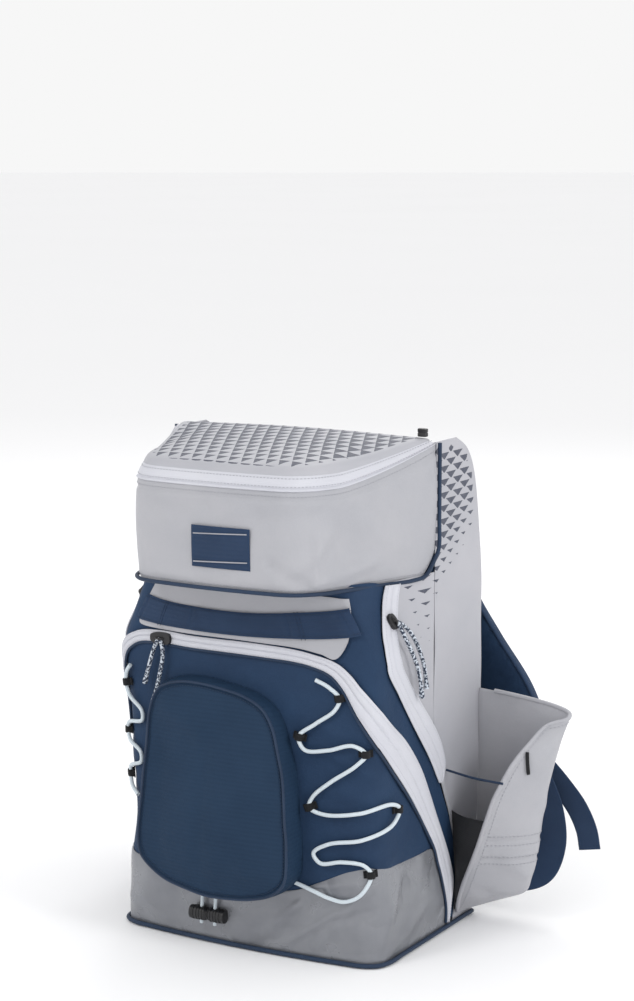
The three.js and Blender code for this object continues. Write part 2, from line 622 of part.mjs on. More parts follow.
function buildYoke() {
  const yokeRows = [
    { lowAround: -0.87, lowUp: 0.865, highAround: -0.88, highUp: 0.975 },
    { lowAround: -0.8, lowUp: 0.845, highAround: -0.8, highUp: 0.975 },
    { lowAround: -0.4, lowUp: 0.84, highAround: -0.4, highUp: 0.975 },
    { lowAround: 0, lowUp: 0.84, highAround: 0, highUp: 0.975 },
    { lowAround: 0.4, lowUp: 0.837, highAround: 0.4, highUp: 0.975 },
    { lowAround: 0.7, lowUp: 0.842, highAround: 0.76, highUp: 0.975 },
    { lowAround: 0.8, lowUp: 0.88, highAround: 0.9, highUp: 0.975 },
  ];
  const yokeWall = 1.6;
  const yokeLift = clothWall + 0.4;
  const low = edgeCurve(yokeRows, 'lowAround', 'lowUp');
  const high = edgeCurve(yokeRows, 'highAround', 'highUp');
  addPiece('yoke_panel', skinPanel(low, high, yokeWall, yokeLift, 16, 2), cloth.light);

  const strapRows = [
    { lowAround: -0.88, lowUp: 0.86, highAround: -0.88, highUp: 0.93 },
    { lowAround: -0.6, lowUp: 0.85, highAround: -0.6, highUp: 0.915 },
    { lowAround: 0, lowUp: 0.848, highAround: 0, highUp: 0.91 },
    { lowAround: 0.6, lowUp: 0.865, highAround: 0.6, highUp: 0.935 },
    { lowAround: 0.88, lowUp: 0.885, highAround: 0.88, highUp: 0.955 },
  ];
  const strapLow = edgeCurve(strapRows, 'lowAround', 'lowUp');
  const strapHigh = edgeCurve(strapRows, 'highAround', 'highUp');
  const strapLift = yokeLift + webbingWall + 0.4;
  addPiece('front_strap', skinPanel(strapLow, strapHigh, webbingWall, strapLift, 16, 1), cloth.navy);
}

// The raised front pouch is a dome with steep sides over a rounded rectangle.
function buildPouch() {
  const wall = 1.8;
  const middle = (pouchTop + pouchBottom) / 2;
  const halfHeight = (pouchTop - pouchBottom) / 2;
  const face = (u, v) => {
    const p = Math.sin((u - 0.5) * Math.PI);
    const q = Math.sin((v - 0.5) * Math.PI);
    const half = pouchHalfWidth * (1 - 0.1 * q) * Math.sqrt(1 - 0.18 * q * q);
    const x = pouchCentreX * (1 + 0.64 * q) + half * p;
    const z = middle + halfHeight * q * Math.sqrt(1 - 0.14 * p * p);
    const rise = Math.sqrt((1 - p ** 6) * (1 - q ** 6));
    const depth = pouchDepth * (1 - 0.25 * q);
    return skinPoint(x / bodyHalfWidth, z / wallHeight, wall + 0.6 + depth * rise);
  };
  addPiece('sub_pocket', wallSheet(face, 1, wall, 0, 12, 10), cloth.navy);
}

// Bungee lacing: routes by shares around and up, and the loops that hold it
const laceRightRoute = [
  { around: 0.53, up: 0.737 }, { around: 0.61, up: 0.72 }, { around: 0.67, up: 0.694 },
  { around: 0.66, up: 0.665 }, { around: 0.58, up: 0.625 }, { around: 0.505, up: 0.585 },
  { around: 0.53, up: 0.555 }, { around: 0.66, up: 0.56 }, { around: 0.81, up: 0.578 },
  { around: 0.87, up: 0.56 }, { around: 0.84, up: 0.53 }, { around: 0.7, up: 0.48 },
  { around: 0.6, up: 0.435 }, { around: 0.585, up: 0.405 }, { around: 0.68, up: 0.392 },
  { around: 0.9, up: 0.405 }, { around: 1.08, up: 0.418 }, { around: 1.16, up: 0.395 },
  { around: 1.08, up: 0.36 }, { around: 0.9, up: 0.333 }, { around: 0.7, up: 0.315 },
  { around: 0.605, up: 0.287 }, { around: 0.64, up: 0.262 }, { around: 0.78, up: 0.272 },
  { around: 0.9, up: 0.265 }, { around: 0.93, up: 0.24 }, { around: 0.88, up: 0.185 },
  { around: 0.78, up: 0.164 }, { around: 0.68, up: 0.17 }, { around: 0.605, up: 0.183 },
];
const laceLeftRoute = [
  { around: -0.88, up: 0.73 }, { around: -0.915, up: 0.71 }, { around: -0.935, up: 0.68 },
  { around: -0.9, up: 0.645 }, { around: -0.8, up: 0.61 }, { around: -0.8, up: 0.585 },
  { around: -0.93, up: 0.57 }, { around: -0.98, up: 0.545 }, { around: -0.92, up: 0.52 },
  { around: -0.82, up: 0.495 }, { around: -0.82, up: 0.47 }, { around: -0.93, up: 0.45 },
  { around: -0.98, up: 0.425 }, { around: -0.94, up: 0.395 }, { around: -0.86, up: 0.375 },
];
const laceSides = [
  { name: 'right', rows: laceRightRoute, steps: 68, loopRows: [2, 5, 9, 13, 17, 25] },
  { name: 'left', rows: laceLeftRoute, steps: 30, loopRows: [2, 7, 12] },
];

// Puts a piece made in its own frame onto the skin: x along the way round, y up, z outwards.
function placeOnSkin(geometry, around, up, lift, turn) {
  const step = 0.004;
  const x = skinBase(around + step, up).sub(skinBase(around - step, up)).normalize();
  const upward = skinBase(around, up + step).sub(skinBase(around, up - step));
  const z = x.clone().cross(upward).normalize();
  const y = z.clone().cross(x);
  geometry.rotateZ(THREE.MathUtils.degToRad(turn));
  geometry.applyMatrix4(new THREE.Matrix4().makeBasis(x, y, z).setPosition(skinPoint(around, up, lift)));
  return bareGeometry(geometry);
}

// A small arch of webbing that the lace runs through, standing on the skin at one place of the route
function laceArch(path, rows, row) {
  const clear = laceRadius + laceClearance;
  const outer = clear + loopWall;
  const shape = new THREE.Shape();
  shape.moveTo(-outer, 0);
  shape.lineTo(outer, 0);
  shape.lineTo(outer, laceCentre + clear);
  shape.lineTo(clear, laceCentre + clear + loopWall);
  shape.lineTo(-clear, laceCentre + clear + loopWall);
  shape.lineTo(-outer, laceCentre + clear);
  shape.closePath();
  const hole = new THREE.Path();
  hole.moveTo(-clear, laceCentre - clear);
  hole.lineTo(-clear, laceCentre + clear);
  hole.lineTo(clear, laceCentre + clear);
  hole.lineTo(clear, laceCentre - clear);
  hole.closePath();
  shape.holes.push(hole);
  const geometry = new THREE.ExtrudeGeometry(shape, { depth: loopWidth, bevelEnabled: false });
  geometry.translate(0, 0, -loopWidth / 2);

  const place = rows[row];
  const base = skinPoint(place.around, place.up, loopLift);
  const normal = skinPoint(place.around, place.up, loopLift + 1).sub(base).normalize();
  const across = normal.clone().cross(path.getTangent(row / (rows.length - 1))).normalize();
  const along = across.clone().cross(normal);
  geometry.applyMatrix4(new THREE.Matrix4().makeBasis(across, normal, along).setPosition(base));
  return bareGeometry(geometry);
}

function buildLacing() {
  for (const lace of laceSides) {
    const points = lace.rows.map((row) => skinPoint(row.around, row.up, loopLift + laceCentre));
    const path = new THREE.CatmullRomCurve3(points, false, 'centripetal');
    addPiece(`lacing_cord_${lace.name}`, cordGeometry(points, laceRadius, 5, lace.steps), cloth.cord);
    lace.loopRows.forEach((row, index) => {
      addPiece(`lace_loop_${lace.name}_${index + 1}`, laceArch(path, lace.rows, row), cloth.black);
    });
  }
  const lock = new THREE.CylinderGeometry(cordLock.radius, cordLock.radius, cordLock.length, 10);
  lock.rotateZ(Math.PI / 2);
  addPiece('cord_lock', placeOnSkin(lock, -0.227, 0.083, cordLock.radius + 1, -2), cloth.moulded);
}

// Zip sliders with cord pulls; each pull is one cord looped through its slider
const pulls = [
  {
    name: 'front', around: -0.62, up: 0.816, turn: 0,
    rows: [
      { around: -0.73, up: 0.69 }, { around: -0.7, up: 0.73 }, { around: -0.65, up: 0.79 },
      { around: -0.62, up: 0.814 }, { around: -0.58, up: 0.785 }, { around: -0.61, up: 0.71 },
      { around: -0.66, up: 0.645 },
    ],
  },
  {
    name: 'main_right', around: 1.235, up: 0.9, turn: -60,
    rows: [
      { around: 1.33, up: 0.69 }, { around: 1.29, up: 0.77 }, { around: 1.24, up: 0.86 },
      { around: 1.25, up: 0.895 }, { around: 1.3, up: 0.86 }, { around: 1.345, up: 0.78 },
      { around: 1.375, up: 0.71 },
    ],
  },
  {
    name: 'main_left', around: -1.235, up: 0.9, turn: 60,
    rows: [
      { around: -1.33, up: 0.69 }, { around: -1.29, up: 0.77 }, { around: -1.24, up: 0.86 },
      { around: -1.25, up: 0.895 }, { around: -1.3, up: 0.86 }, { around: -1.345, up: 0.78 },
      { around: -1.375, up: 0.71 },
    ],
  },
];
const slider = { length: 15, width: 9, thickness: 4 };
const pullRadius = 2.1;

function buildZipHardware() {
  for (const pull of pulls) {
    const body = new THREE.BoxGeometry(slider.length, slider.width, slider.thickness);
    const bodyLift = tapeLift + slider.thickness / 2 + seamGap;
    const placed = placeOnSkin(body, pull.around, pull.up, bodyLift, pull.turn);
    addPiece(`zip_slider_${pull.name}`, placed, cloth.moulded);
    const cordLift = tapeLift + slider.thickness + pullRadius + 2 * seamGap;
    const points = pull.rows.map((row) => skinPoint(row.around, row.up, cordLift));
    addPiece(`zip_pull_${pull.name}`, cordGeometry(points, pullRadius, 5, 14), cloth.cord);
  }
}

// Side pocket: plan sections from the floor seam up. front is the mouth's free edge, reach the widest
// point and seam the back edge on the bag; x as shares of bodyHalfWidth, y of bodyDepth, z of bagHeight.
const pocketRows = [
  { frontX: 1.012, frontY: 0.29, outX: 1.03, outY: 0.4, seamX: 1.007, seamY: 0.5, frontZ: 0.022, seamZ: 0.022 },
  { frontX: 1.02, frontY: 0.27, outX: 1.3, outY: 0.5, seamX: 1, seamY: 0.508, frontZ: 0.036, seamZ: 0.036 },
  { frontX: 1.06, frontY: 0.235, outX: 1.78, outY: 0.5, seamX: 0.99, seamY: 0.512, frontZ: 0.068, seamZ: 0.068 },
  { frontX: 1.13, frontY: 0.2, outX: 1.9, outY: 0.5, seamX: 0.988, seamY: 0.53, frontZ: 0.114, seamZ: 0.114 },
  { frontX: 1.22, frontY: 0.17, outX: 1.93, outY: 0.5, seamX: 0.988, seamY: 0.545, frontZ: 0.172, seamZ: 0.172 },
  { frontX: 1.31, frontY: 0.15, outX: 1.95, outY: 0.5, seamX: 0.988, seamY: 0.55, frontZ: 0.244, seamZ: 0.244 },
  { frontX: 1.38, frontY: 0.15, outX: 2.0, outY: 0.5, seamX: 0.988, seamY: 0.55, frontZ: 0.3, seamZ: 0.32 },
  { frontX: 1.5, frontY: 0.205, outX: 2.03, outY: 0.51, seamX: 0.988, seamY: 0.555, frontZ: 0.376, seamZ: 0.41 },
  { frontX: 1.6, frontY: 0.39, outX: 2.0, outY: 0.53, seamX: 0.988, seamY: 0.56, frontZ: 0.432, seamZ: 0.47 },
];
const flareLeft = 1.08;

function pocketPoint(side, u, v) {
  const last = pocketRows.length - 1;
  const index = Math.min(Math.floor(v * last), last - 1);
  const t = v * last - index;
  const read = (column) => mix(pocketRows[index][column], pocketRows[index + 1][column], t);
  const flare = (share) => 1 + (share - 1) * (side > 0 ? 1 : flareLeft);
  const front = new THREE.Vector2(flare(read('frontX')) * bodyHalfWidth, read('frontY') * bodyDepth);
  const seam = new THREE.Vector2(read('seamX') * bodyHalfWidth, read('seamY') * bodyDepth - 2);
  const reach = new THREE.Vector2(flare(read('outX')) * bodyHalfWidth, read('outY') * bodyDepth);
  const x = (1 - u) ** 2 * front.x + 2 * u * (1 - u) * reach.x + u * u * seam.x;
  const y = (1 - u) ** 2 * front.y + 2 * u * (1 - u) * reach.y + u * u * seam.y;
  return new THREE.Vector3(side * x, y, bagHeight * mix(read('frontZ'), read('seamZ'), u));
}

function buildSidePocket(name, side) {
  const surface = (u, v) => pocketPoint(side, u, v);
  addPiece(`side_pocket_${name}`, wallSheet(surface, side, pocketWall, 0, 8, 10), cloth.light);

  const gussetTop = 0.62;
  const gusset = (height) => (u, v) => {
    const share = mix(0.1, gussetTop, v);
    const edge = pocketPoint(side, 0, share);
    const z = edge.z;
    const bodyY = mix(0.325, 0.24, v) * bodyDepth;
    const body = new THREE.Vector3(side * (bodyHalfWidth * sideShare + seamGap), bodyY, z);
    const outer = new THREE.Vector3(edge.x - side * 1.5, edge.y - 0.4, z);
    const point = body.lerp(outer, u);
    point.y -= 6 * Math.sin(Math.PI * u) + height;
    return point;
  };
  addPiece(`pocket_gusset_${name}`, sheetGeometry(gusset(0), gusset(-gussetWall), 4, 5), cloth.black);

  const { width, height, thickness } = pocketTab;
  const tab = boxOnSurface(surface, side, { u: 0.035, v: 0.85 }, width, height, thickness);
  addPiece(`cord_tab_${name}`, tab, cloth.black);

  const edge = pocketPoint(side, 0, 0.79);
  const startX = side * (bodyHalfWidth * sideShare + 2 * seamGap);
  const cordStart = new THREE.Vector3(startX, 0.176 * bodyDepth, 0.332 * bagHeight);
  const cordEnd = new THREE.Vector3(edge.x + side, edge.y - elasticRadius - seamGap, edge.z);
  const middle = cordStart.clone().lerp(cordEnd, 0.5);
  middle.z -= 3;
  addPiece(`side_cord_${name}`, cordGeometry([cordStart, middle, cordEnd], elasticRadius, 5, 6), cloth.navy);
}

// Back: padded shoulder straps, their lower webbing, ladder locks and loose tails.
// out is a share of bodyHalfWidth, back of bodyDepth and up of bagHeight.
const strapRoute = [
  { out: 0.387, back: 0.539, up: 0.892 }, { out: 0.413, back: 0.618, up: 0.884 },
  { out: 0.453, back: 0.691, up: 0.832 }, { out: 0.493, back: 0.735, up: 0.736 },
  { out: 0.6, back: 0.775, up: 0.624 }, { out: 0.793, back: 0.799, up: 0.526 },
  { out: 1.029, back: 0.789, up: 0.434 }, { out: 1.167, back: 0.733, up: 0.376 },
];
const webbingRoute = [
  { out: 1.262, back: 0.683, up: 0.325 }, { out: 1.345, back: 0.672, up: 0.277 },
  { out: 1.437, back: 0.665, up: 0.215 }, { out: 1.467, back: 0.645, up: 0.15 },
  { out: 1.413, back: 0.605, up: 0.1 }, { out: 1.233, back: 0.56, up: 0.082 },
];
const webbingEnd = { out: 0.92, up: 0.082 };
const tailRoute = [
  { out: 1.28, back: 0.715, up: 0.332 }, { out: 1.373, back: 0.735, up: 0.3 },
  { out: 1.48, back: 0.75, up: 0.264 }, { out: 1.6, back: 0.755, up: 0.22 },
  { out: 1.673, back: 0.755, up: 0.176 }, { out: 1.7, back: 0.755, up: 0.136 },
];
const lockPlace = { out: 1.216, back: 0.715, up: 0.35, lean: 0.45, swing: 0.55 };

// A place behind the bag from shares of its named sizes.
function backPlace(row, side) {
  return new THREE.Vector3(side * row.out * bodyHalfWidth, row.back * bodyDepth, row.up * bagHeight);
}

// A flat strap along a route: its width lies square to the route and to the way it faces.
function strapGeometry(points, width, wall, facingTop, uSteps) {
  const path = new THREE.CatmullRomCurve3(points, false, 'centripetal');
  const frameAt = (u) => {
    const tangent = path.getTangent(u);
    const turn = clamp(u * 5, 0, 1);
    const facing = new THREE.Vector3(0, facingTop ? turn : 1, facingTop ? 1 - turn : 0);
    const across = tangent.clone().cross(facing).normalize();
    return { centre: path.getPoint(u), across, normal: across.clone().cross(tangent).normalize() };
  };
  const at = (height) => (u, v) => {
    const { centre, across, normal } = frameAt(u);
    return centre.addScaledVector(across, (v - 0.5) * width).addScaledVector(normal, height);
  };
  return sheetGeometry(at(wall / 2), at(-wall / 2), uSteps, 2);
}

function buildStraps(name, side) {
  const padPoints = strapRoute.map((row) => backPlace(row, side));
  const pad = strapGeometry(padPoints, strapWidth, strapThickness, true, 16);
  addPiece(`shoulder_strap_${name}`, pad, cloth.navy);

  const endZ = webbingEnd.up * bagHeight;
  const endY = rearY(endZ + webbingWidth / 2) + webbingWall / 2 + seamGap;
  const endPoint = new THREE.Vector3(side * webbingEnd.out * bodyHalfWidth, endY, endZ);
  const lowerPoints = [...webbingRoute.map((row) => backPlace(row, side)), endPoint];
  const lower = strapGeometry(lowerPoints, webbingWidth, webbingWall, false, 14);
  addPiece(`strap_webbing_${name}`, lower, cloth.navy);

  const tailPoints = tailRoute.map((row) => backPlace(row, side));
  const tail = strapGeometry(tailPoints, tailWidth, webbingWall, false, 8);
  addPiece(`strap_tail_${name}`, tail, cloth.navy);

  const frame = new THREE.Shape();
  const halfWidth = ladderLock.width / 2;
  const halfHeight = ladderLock.height / 2;
  frame.moveTo(-halfWidth, -halfHeight);
  frame.lineTo(halfWidth, -halfHeight);
  frame.lineTo(halfWidth, halfHeight);
  frame.lineTo(-halfWidth, halfHeight);
  frame.closePath();
  const slotHalf = halfWidth - ladderLock.bar;
  const slotTop = halfHeight - ladderLock.crossBar;
  const slot = new THREE.Path();
  slot.moveTo(-slotHalf, -slotTop);
  slot.lineTo(-slotHalf, slotTop);
  slot.lineTo(slotHalf, slotTop);
  slot.lineTo(slotHalf, -slotTop);
  slot.closePath();
  frame.holes.push(slot);
  const lock = new THREE.ExtrudeGeometry(frame, { depth: ladderLock.thickness, bevelEnabled: false });
  lock.translate(0, 0, -ladderLock.thickness / 2);
  lock.rotateX(Math.PI / 2 - lockPlace.lean);
  lock.rotateY(-side * lockPlace.swing);
  const place = backPlace(lockPlace, side);
  lock.translate(place.x, place.y, place.z);
  addPiece(`ladder_lock_${name}`, bareGeometry(lock), cloth.moulded);
}

function buildHaulLoop() {
  const { width, thickness } = haulWebbing;
  const z = 0.914 * bagHeight;
  const y = rearY(z) + width / 2 - 1.7;
  const rows = [
    [-46, z], [-44, z + 9], [-32, z + 21], [0, z + 26], [32, z + 21], [44, z + 9], [46, z],
  ];
  const points = rows.map(([x, height]) => new THREE.Vector3(x, y, height));
  const path = new THREE.CatmullRomCurve3(points, false, 'centripetal');
  const across = new THREE.Vector3(0, 1, 0);
  const at = (height) => (u, v) => {
    const normal = path.getTangent(u).cross(across).normalize();
    return path.getPoint(u).addScaledVector(across, (v - 0.5) * width).addScaledVector(normal, height);
  };
  addPiece('haul_loop', sheetGeometry(at(thickness / 2), at(-thickness / 2), 14, 1), cloth.navy);
}

buildBaseAndBack();
buildMainPanels();
buildFrontPocket();
buildPouch();
buildYoke();
buildLid();
buildLacing();
buildZipHardware();
for (const [name, side] of [['right', 1], ['left', -1]]) {
  buildSidePocket(name, side);
  buildStraps(name, side);
}
buildHaulLoop();

export default bag;
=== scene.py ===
import math
import bpy
import numpy as np
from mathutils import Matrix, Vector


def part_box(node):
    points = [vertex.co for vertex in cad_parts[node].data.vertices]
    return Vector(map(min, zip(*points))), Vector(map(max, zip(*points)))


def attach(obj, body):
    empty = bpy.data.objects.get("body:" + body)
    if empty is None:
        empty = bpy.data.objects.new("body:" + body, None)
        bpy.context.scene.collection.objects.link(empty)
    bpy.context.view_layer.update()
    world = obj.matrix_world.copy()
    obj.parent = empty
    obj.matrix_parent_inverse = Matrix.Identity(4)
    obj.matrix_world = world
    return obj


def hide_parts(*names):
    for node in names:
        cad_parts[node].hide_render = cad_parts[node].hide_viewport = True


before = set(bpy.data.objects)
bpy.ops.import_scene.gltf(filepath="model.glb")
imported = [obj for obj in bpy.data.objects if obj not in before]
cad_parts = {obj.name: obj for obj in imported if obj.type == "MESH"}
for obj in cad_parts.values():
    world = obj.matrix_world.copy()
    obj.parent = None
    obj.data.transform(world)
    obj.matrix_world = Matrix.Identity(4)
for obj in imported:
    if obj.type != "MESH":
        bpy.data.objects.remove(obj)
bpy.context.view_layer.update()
mm = 0.001
print("frame loaded:", len(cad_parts), "nodes")

# Camera and light
cameraSetup = {"azimuth": 29.87, "pitch": 8.81, "distance": 2379.87, "lens": 84.89,
               "target": (8.91, 18.5, 430.89)}
floorSetup = {"half": 60.0, "colour": (252, 252, 253)}
lightSetup = [
    {"name": "keyLight", "azimuth": -20, "height": 2.4, "distance": 2.6, "size": 1.0, "power": 21},
    {"name": "sideLight", "azimuth": 80, "height": 1.7, "distance": 2.8, "size": 1.0, "power": 26},
    {"name": "backLight", "azimuth": 200, "height": 2.2, "distance": 2.6, "size": 1.3, "power": 18},
]
lightTarget = (0, 0, 0.25)
skyStrength = 0.93


def linearColour(rgb):
    # Each channel from 0 to 255 in sRGB, turned to linear light by the usual power curve
    share = np.asarray(rgb, float) / 255
    low = share / 12.92
    high = ((share + 0.055) / 1.055) ** 2.4
    return (*np.where(share <= 0.04045, low, high), 1.0)


def aroundBag(azimuth, height, distance):
    # A place on a circle round the bag, azimuth 0 in front of it
    angle = math.radians(azimuth)
    return (math.sin(angle) * distance, -math.cos(angle) * distance, height)


def aimAt(thing, target):
    # Tips the thing up from looking down by the target's height, then turns it the target's way round
    direction = np.array(target) - np.array(thing.location)
    flat = math.hypot(direction[0], direction[1])
    tilt = math.pi / 2 + math.atan2(direction[2], flat)
    thing.rotation_euler = (tilt, 0, math.atan2(-direction[0], direction[1]))


def setCamera():
    # The camera stands behind the target by its distance, along the view's azimuth and pitch
    angle = math.radians(cameraSetup["azimuth"])
    pitch = math.radians(cameraSetup["pitch"])
    back = (math.sin(angle) * math.cos(pitch), -math.cos(angle) * math.cos(pitch), math.sin(pitch))
    target = np.array(cameraSetup["target"]) * mm
    data = bpy.data.cameras.new("photoCamera")
    data.lens = cameraSetup["lens"]
    data.sensor_width = 36
    data.sensor_fit = "AUTO"
    data.clip_end = 50
    camera = bpy.data.objects.new("photoCamera", data)
    camera.location = target + np.array(back) * cameraSetup["distance"] * mm
    aimAt(camera, target)
    bpy.context.scene.collection.objects.link(camera)
    bpy.context.scene.camera = camera


def setLights():
    # Round soft lights on circles round the bag, in an even white sky
    for row in lightSetup:
        data = bpy.data.lights.new(row["name"], "AREA")
        data.shape = "DISK"
        data.size = row["size"]
        data.energy = row["power"]
        light = bpy.data.objects.new(row["name"], data)
        light.location = aroundBag(row["azimuth"], row["height"], row["distance"])
        aimAt(light, lightTarget)
        bpy.context.scene.collection.objects.link(light)
    world = bpy.data.worlds.new("studioWorld")
    world.use_nodes = True
    background = world.node_tree.nodes["Background"]
    background.inputs["Color"].default_value = (1, 1, 1, 1)
    background.inputs["Strength"].default_value = skyStrength
    bpy.context.scene.world = world
    bpy.context.scene.view_settings.view_transform = "Standard"


setCamera()
setLights()
print("camera and lights set")


# Materials: a small set of helpers, then one function for each kind of finish

def newLook(name):
    # An empty material with its node tree and its shader
    look = bpy.data.materials.new(name)
    look.use_nodes = True
    return look, look.node_tree, look.node_tree.nodes["Principled BSDF"]


def addNode(tree, kind, **settings):
    # A node whose settings are its own properties or else its inputs' values
    made = tree.nodes.new(kind)
    for key, value in settings.items():
        if hasattr(made, key):
            setattr(made, key, value)
        else:
            made.inputs[key.replace("_", " ")].default_value = value
    return made


def calc(tree, operation, first, second=None, third=None):
    # One Math node; each value is a number or another node's output
    made = tree.nodes.new("ShaderNodeMath")
    made.operation = operation
    for place, value in enumerate((first, second, third)):
        if value is None:
            continue
        if isinstance(value, (int, float)):
            made.inputs[place].default_value = value
        else:
            tree.links.new(value, made.inputs[place])
    return made.outputs[0]


def blendColours(tree, share, first, second):
    # Mixes two colours, each an sRGB triple or an output, by a share from 0 to 1
    made = tree.nodes.new("ShaderNodeMix")
    made.data_type = "RGBA"
    for place, value in ((0, share), (6, first), (7, second)):
        if isinstance(value, tuple):
            made.inputs[place].default_value = linearColour(value)
        elif isinstance(value, (int, float)):
            made.inputs[place].default_value = value
        else:
            tree.links.new(value, made.inputs[place])
    return made.outputs[2]


def cutPlace(tree):
    # The piece's own map of its cloth laid flat, in metres
    place = tree.nodes.new("ShaderNodeUVMap")
    place.uv_map = "cut"
    return place.outputs["UV"]


def threadPlace(tree):
    # The two directions of that map: across and along the cloth
    split = tree.nodes.new("ShaderNodeSeparateXYZ")
    tree.links.new(cutPlace(tree), split.inputs[0])
    return split.outputs[0], split.outputs[1]


def noiseAt(tree, place, scale, detail=3.0, roughness=0.55):
    # Noise from 0 to 1; scale is its number of lumps in a metre
    made = addNode(tree, "ShaderNodeTexNoise", Scale=scale, Detail=detail, Roughness=roughness)
    tree.links.new(place, made.inputs["Vector"])
    return made.outputs["Fac"]


def objectPlace(tree):
    # The place in the bag's own frame, in metres
    return tree.nodes.new("ShaderNodeTexCoord").outputs["Object"]


def rangeOf(tree, value, low, high, start=0.0, end=1.0):
    # The value's stretch from start to end, spread over low to high
    made = addNode(tree, "ShaderNodeMapRange")
    made.inputs["From Min"].default_value = start
    made.inputs["From Max"].default_value = end
    made.inputs["To Min"].default_value = low
    made.inputs["To Max"].default_value = high
    tree.links.new(value, made.inputs["Value"])
    return made.outputs["Result"]


def bumpFrom(tree, shader, height, strength, distance, before=None):
    # Tilts the shader's normal by the height's slope, on top of an earlier bump
    made = addNode(tree, "ShaderNodeBump", Strength=strength, Distance=distance)
    tree.links.new(height, made.inputs["Height"])
    if before is not None:
        tree.links.new(before, made.inputs["Normal"])
    tree.links.new(made.outputs["Normal"], shader.inputs["Normal"])
    return made.outputs["Normal"]


def weave(tree, across, along, pitch):
    # Plain weave: the product of two sine rows, one turned half a thread against the other
    turn = 2 * math.pi / pitch
    warp = calc(tree, "SINE", calc(tree, "MULTIPLY", across, turn))
    weft = calc(tree, "SINE", calc(tree, "MULTIPLY", along, turn))
    return calc(tree, "MULTIPLY", warp, weft)


fineScale = 900
roughSpread = 0.06


def clothLook(name, setup):
    # Colour from the base and shade by slow noise and by the weave; height from weave, ribs and creases
    look, tree, shader = newLook(name)
    across, along = threadPlace(tree)
    solid = objectPlace(tree)
    slow = noiseAt(tree, solid, setup.get("patchScale", 14), 4.0)
    fine = noiseAt(tree, solid, fineScale, 2.0)
    threads = weave(tree, across, along, setup["thread"])
    colour = blendColours(tree, rangeOf(tree, slow, 0, 1, 0.3, 0.7), setup["colour"], setup["shade"])
    ribPitch = setup.get("rib")
    height = calc(tree, "MULTIPLY", threads, 0.5)
    if ribPitch:
        rib = calc(tree, "SINE", calc(tree, "MULTIPLY", along, 2 * math.pi / ribPitch))
        height = calc(tree, "ADD", height, calc(tree, "MULTIPLY", rib, setup["ribHeight"]))
        ribShare = calc(tree, "MULTIPLY", rangeOf(tree, rib, 0, 1, -1, 1), setup["ribShade"])
        colour = blendColours(tree, ribShare, colour, setup["otherThread"])
    speck = calc(tree, "MULTIPLY", rangeOf(tree, fine, 0, 1, 0.35, 0.65), setup.get("speck", 0.12))
    colour = blendColours(tree, speck, colour, setup["otherThread"])
    tree.links.new(colour, shader.inputs["Base Color"])
    rough = rangeOf(tree, slow, setup["rough"] - roughSpread, setup["rough"] + roughSpread)
    tree.links.new(rough, shader.inputs["Roughness"])
    shader.inputs["Sheen Weight"].default_value = setup.get("sheen", 0.15)
    shader.inputs["Specular IOR Level"].default_value = setup.get("specular", 0.35)
    creases = noiseAt(tree, solid, setup.get("creaseScale", 38), 5.0, 0.6)
    first = bumpFrom(tree, shader, creases, setup.get("crease", 0.25), 0.004)
    bumpFrom(tree, shader, height, setup.get("weaveBump", 0.5), 0.0003, first)
    return look


def tarpaulinLook(name, setup):
    # Glossy coated cloth: two sizes of noise crumple it, and ridges of noise catch the light
    look, tree, shader = newLook(name)
    across, along = threadPlace(tree)
    solid = objectPlace(tree)
    slow = noiseAt(tree, solid, setup["patchScale"], 4.0)
    colour = blendColours(tree, rangeOf(tree, slow, 0, 1, 0.35, 0.65), setup["colour"], setup["shade"])
    tree.links.new(colour, shader.inputs["Base Color"])
    tree.links.new(rangeOf(tree, slow, 0.22, 0.34), shader.inputs["Roughness"])
    shader.inputs["Metallic"].default_value = setup["metal"]
    shader.inputs["Specular IOR Level"].default_value = 0.55
    crumple = noiseAt(tree, solid, setup["crumpleScale"], 2.0, 0.45)
    ridge = calc(tree, "ABSOLUTE", calc(tree, "SUBTRACT", crumple, 0.5))
    first = bumpFrom(tree, shader, ridge, setup["crumple"], 0.012)
    threads = weave(tree, across, along, setup["thread"])
    bumpFrom(tree, shader, threads, 0.2, 0.0002, first)
    return look


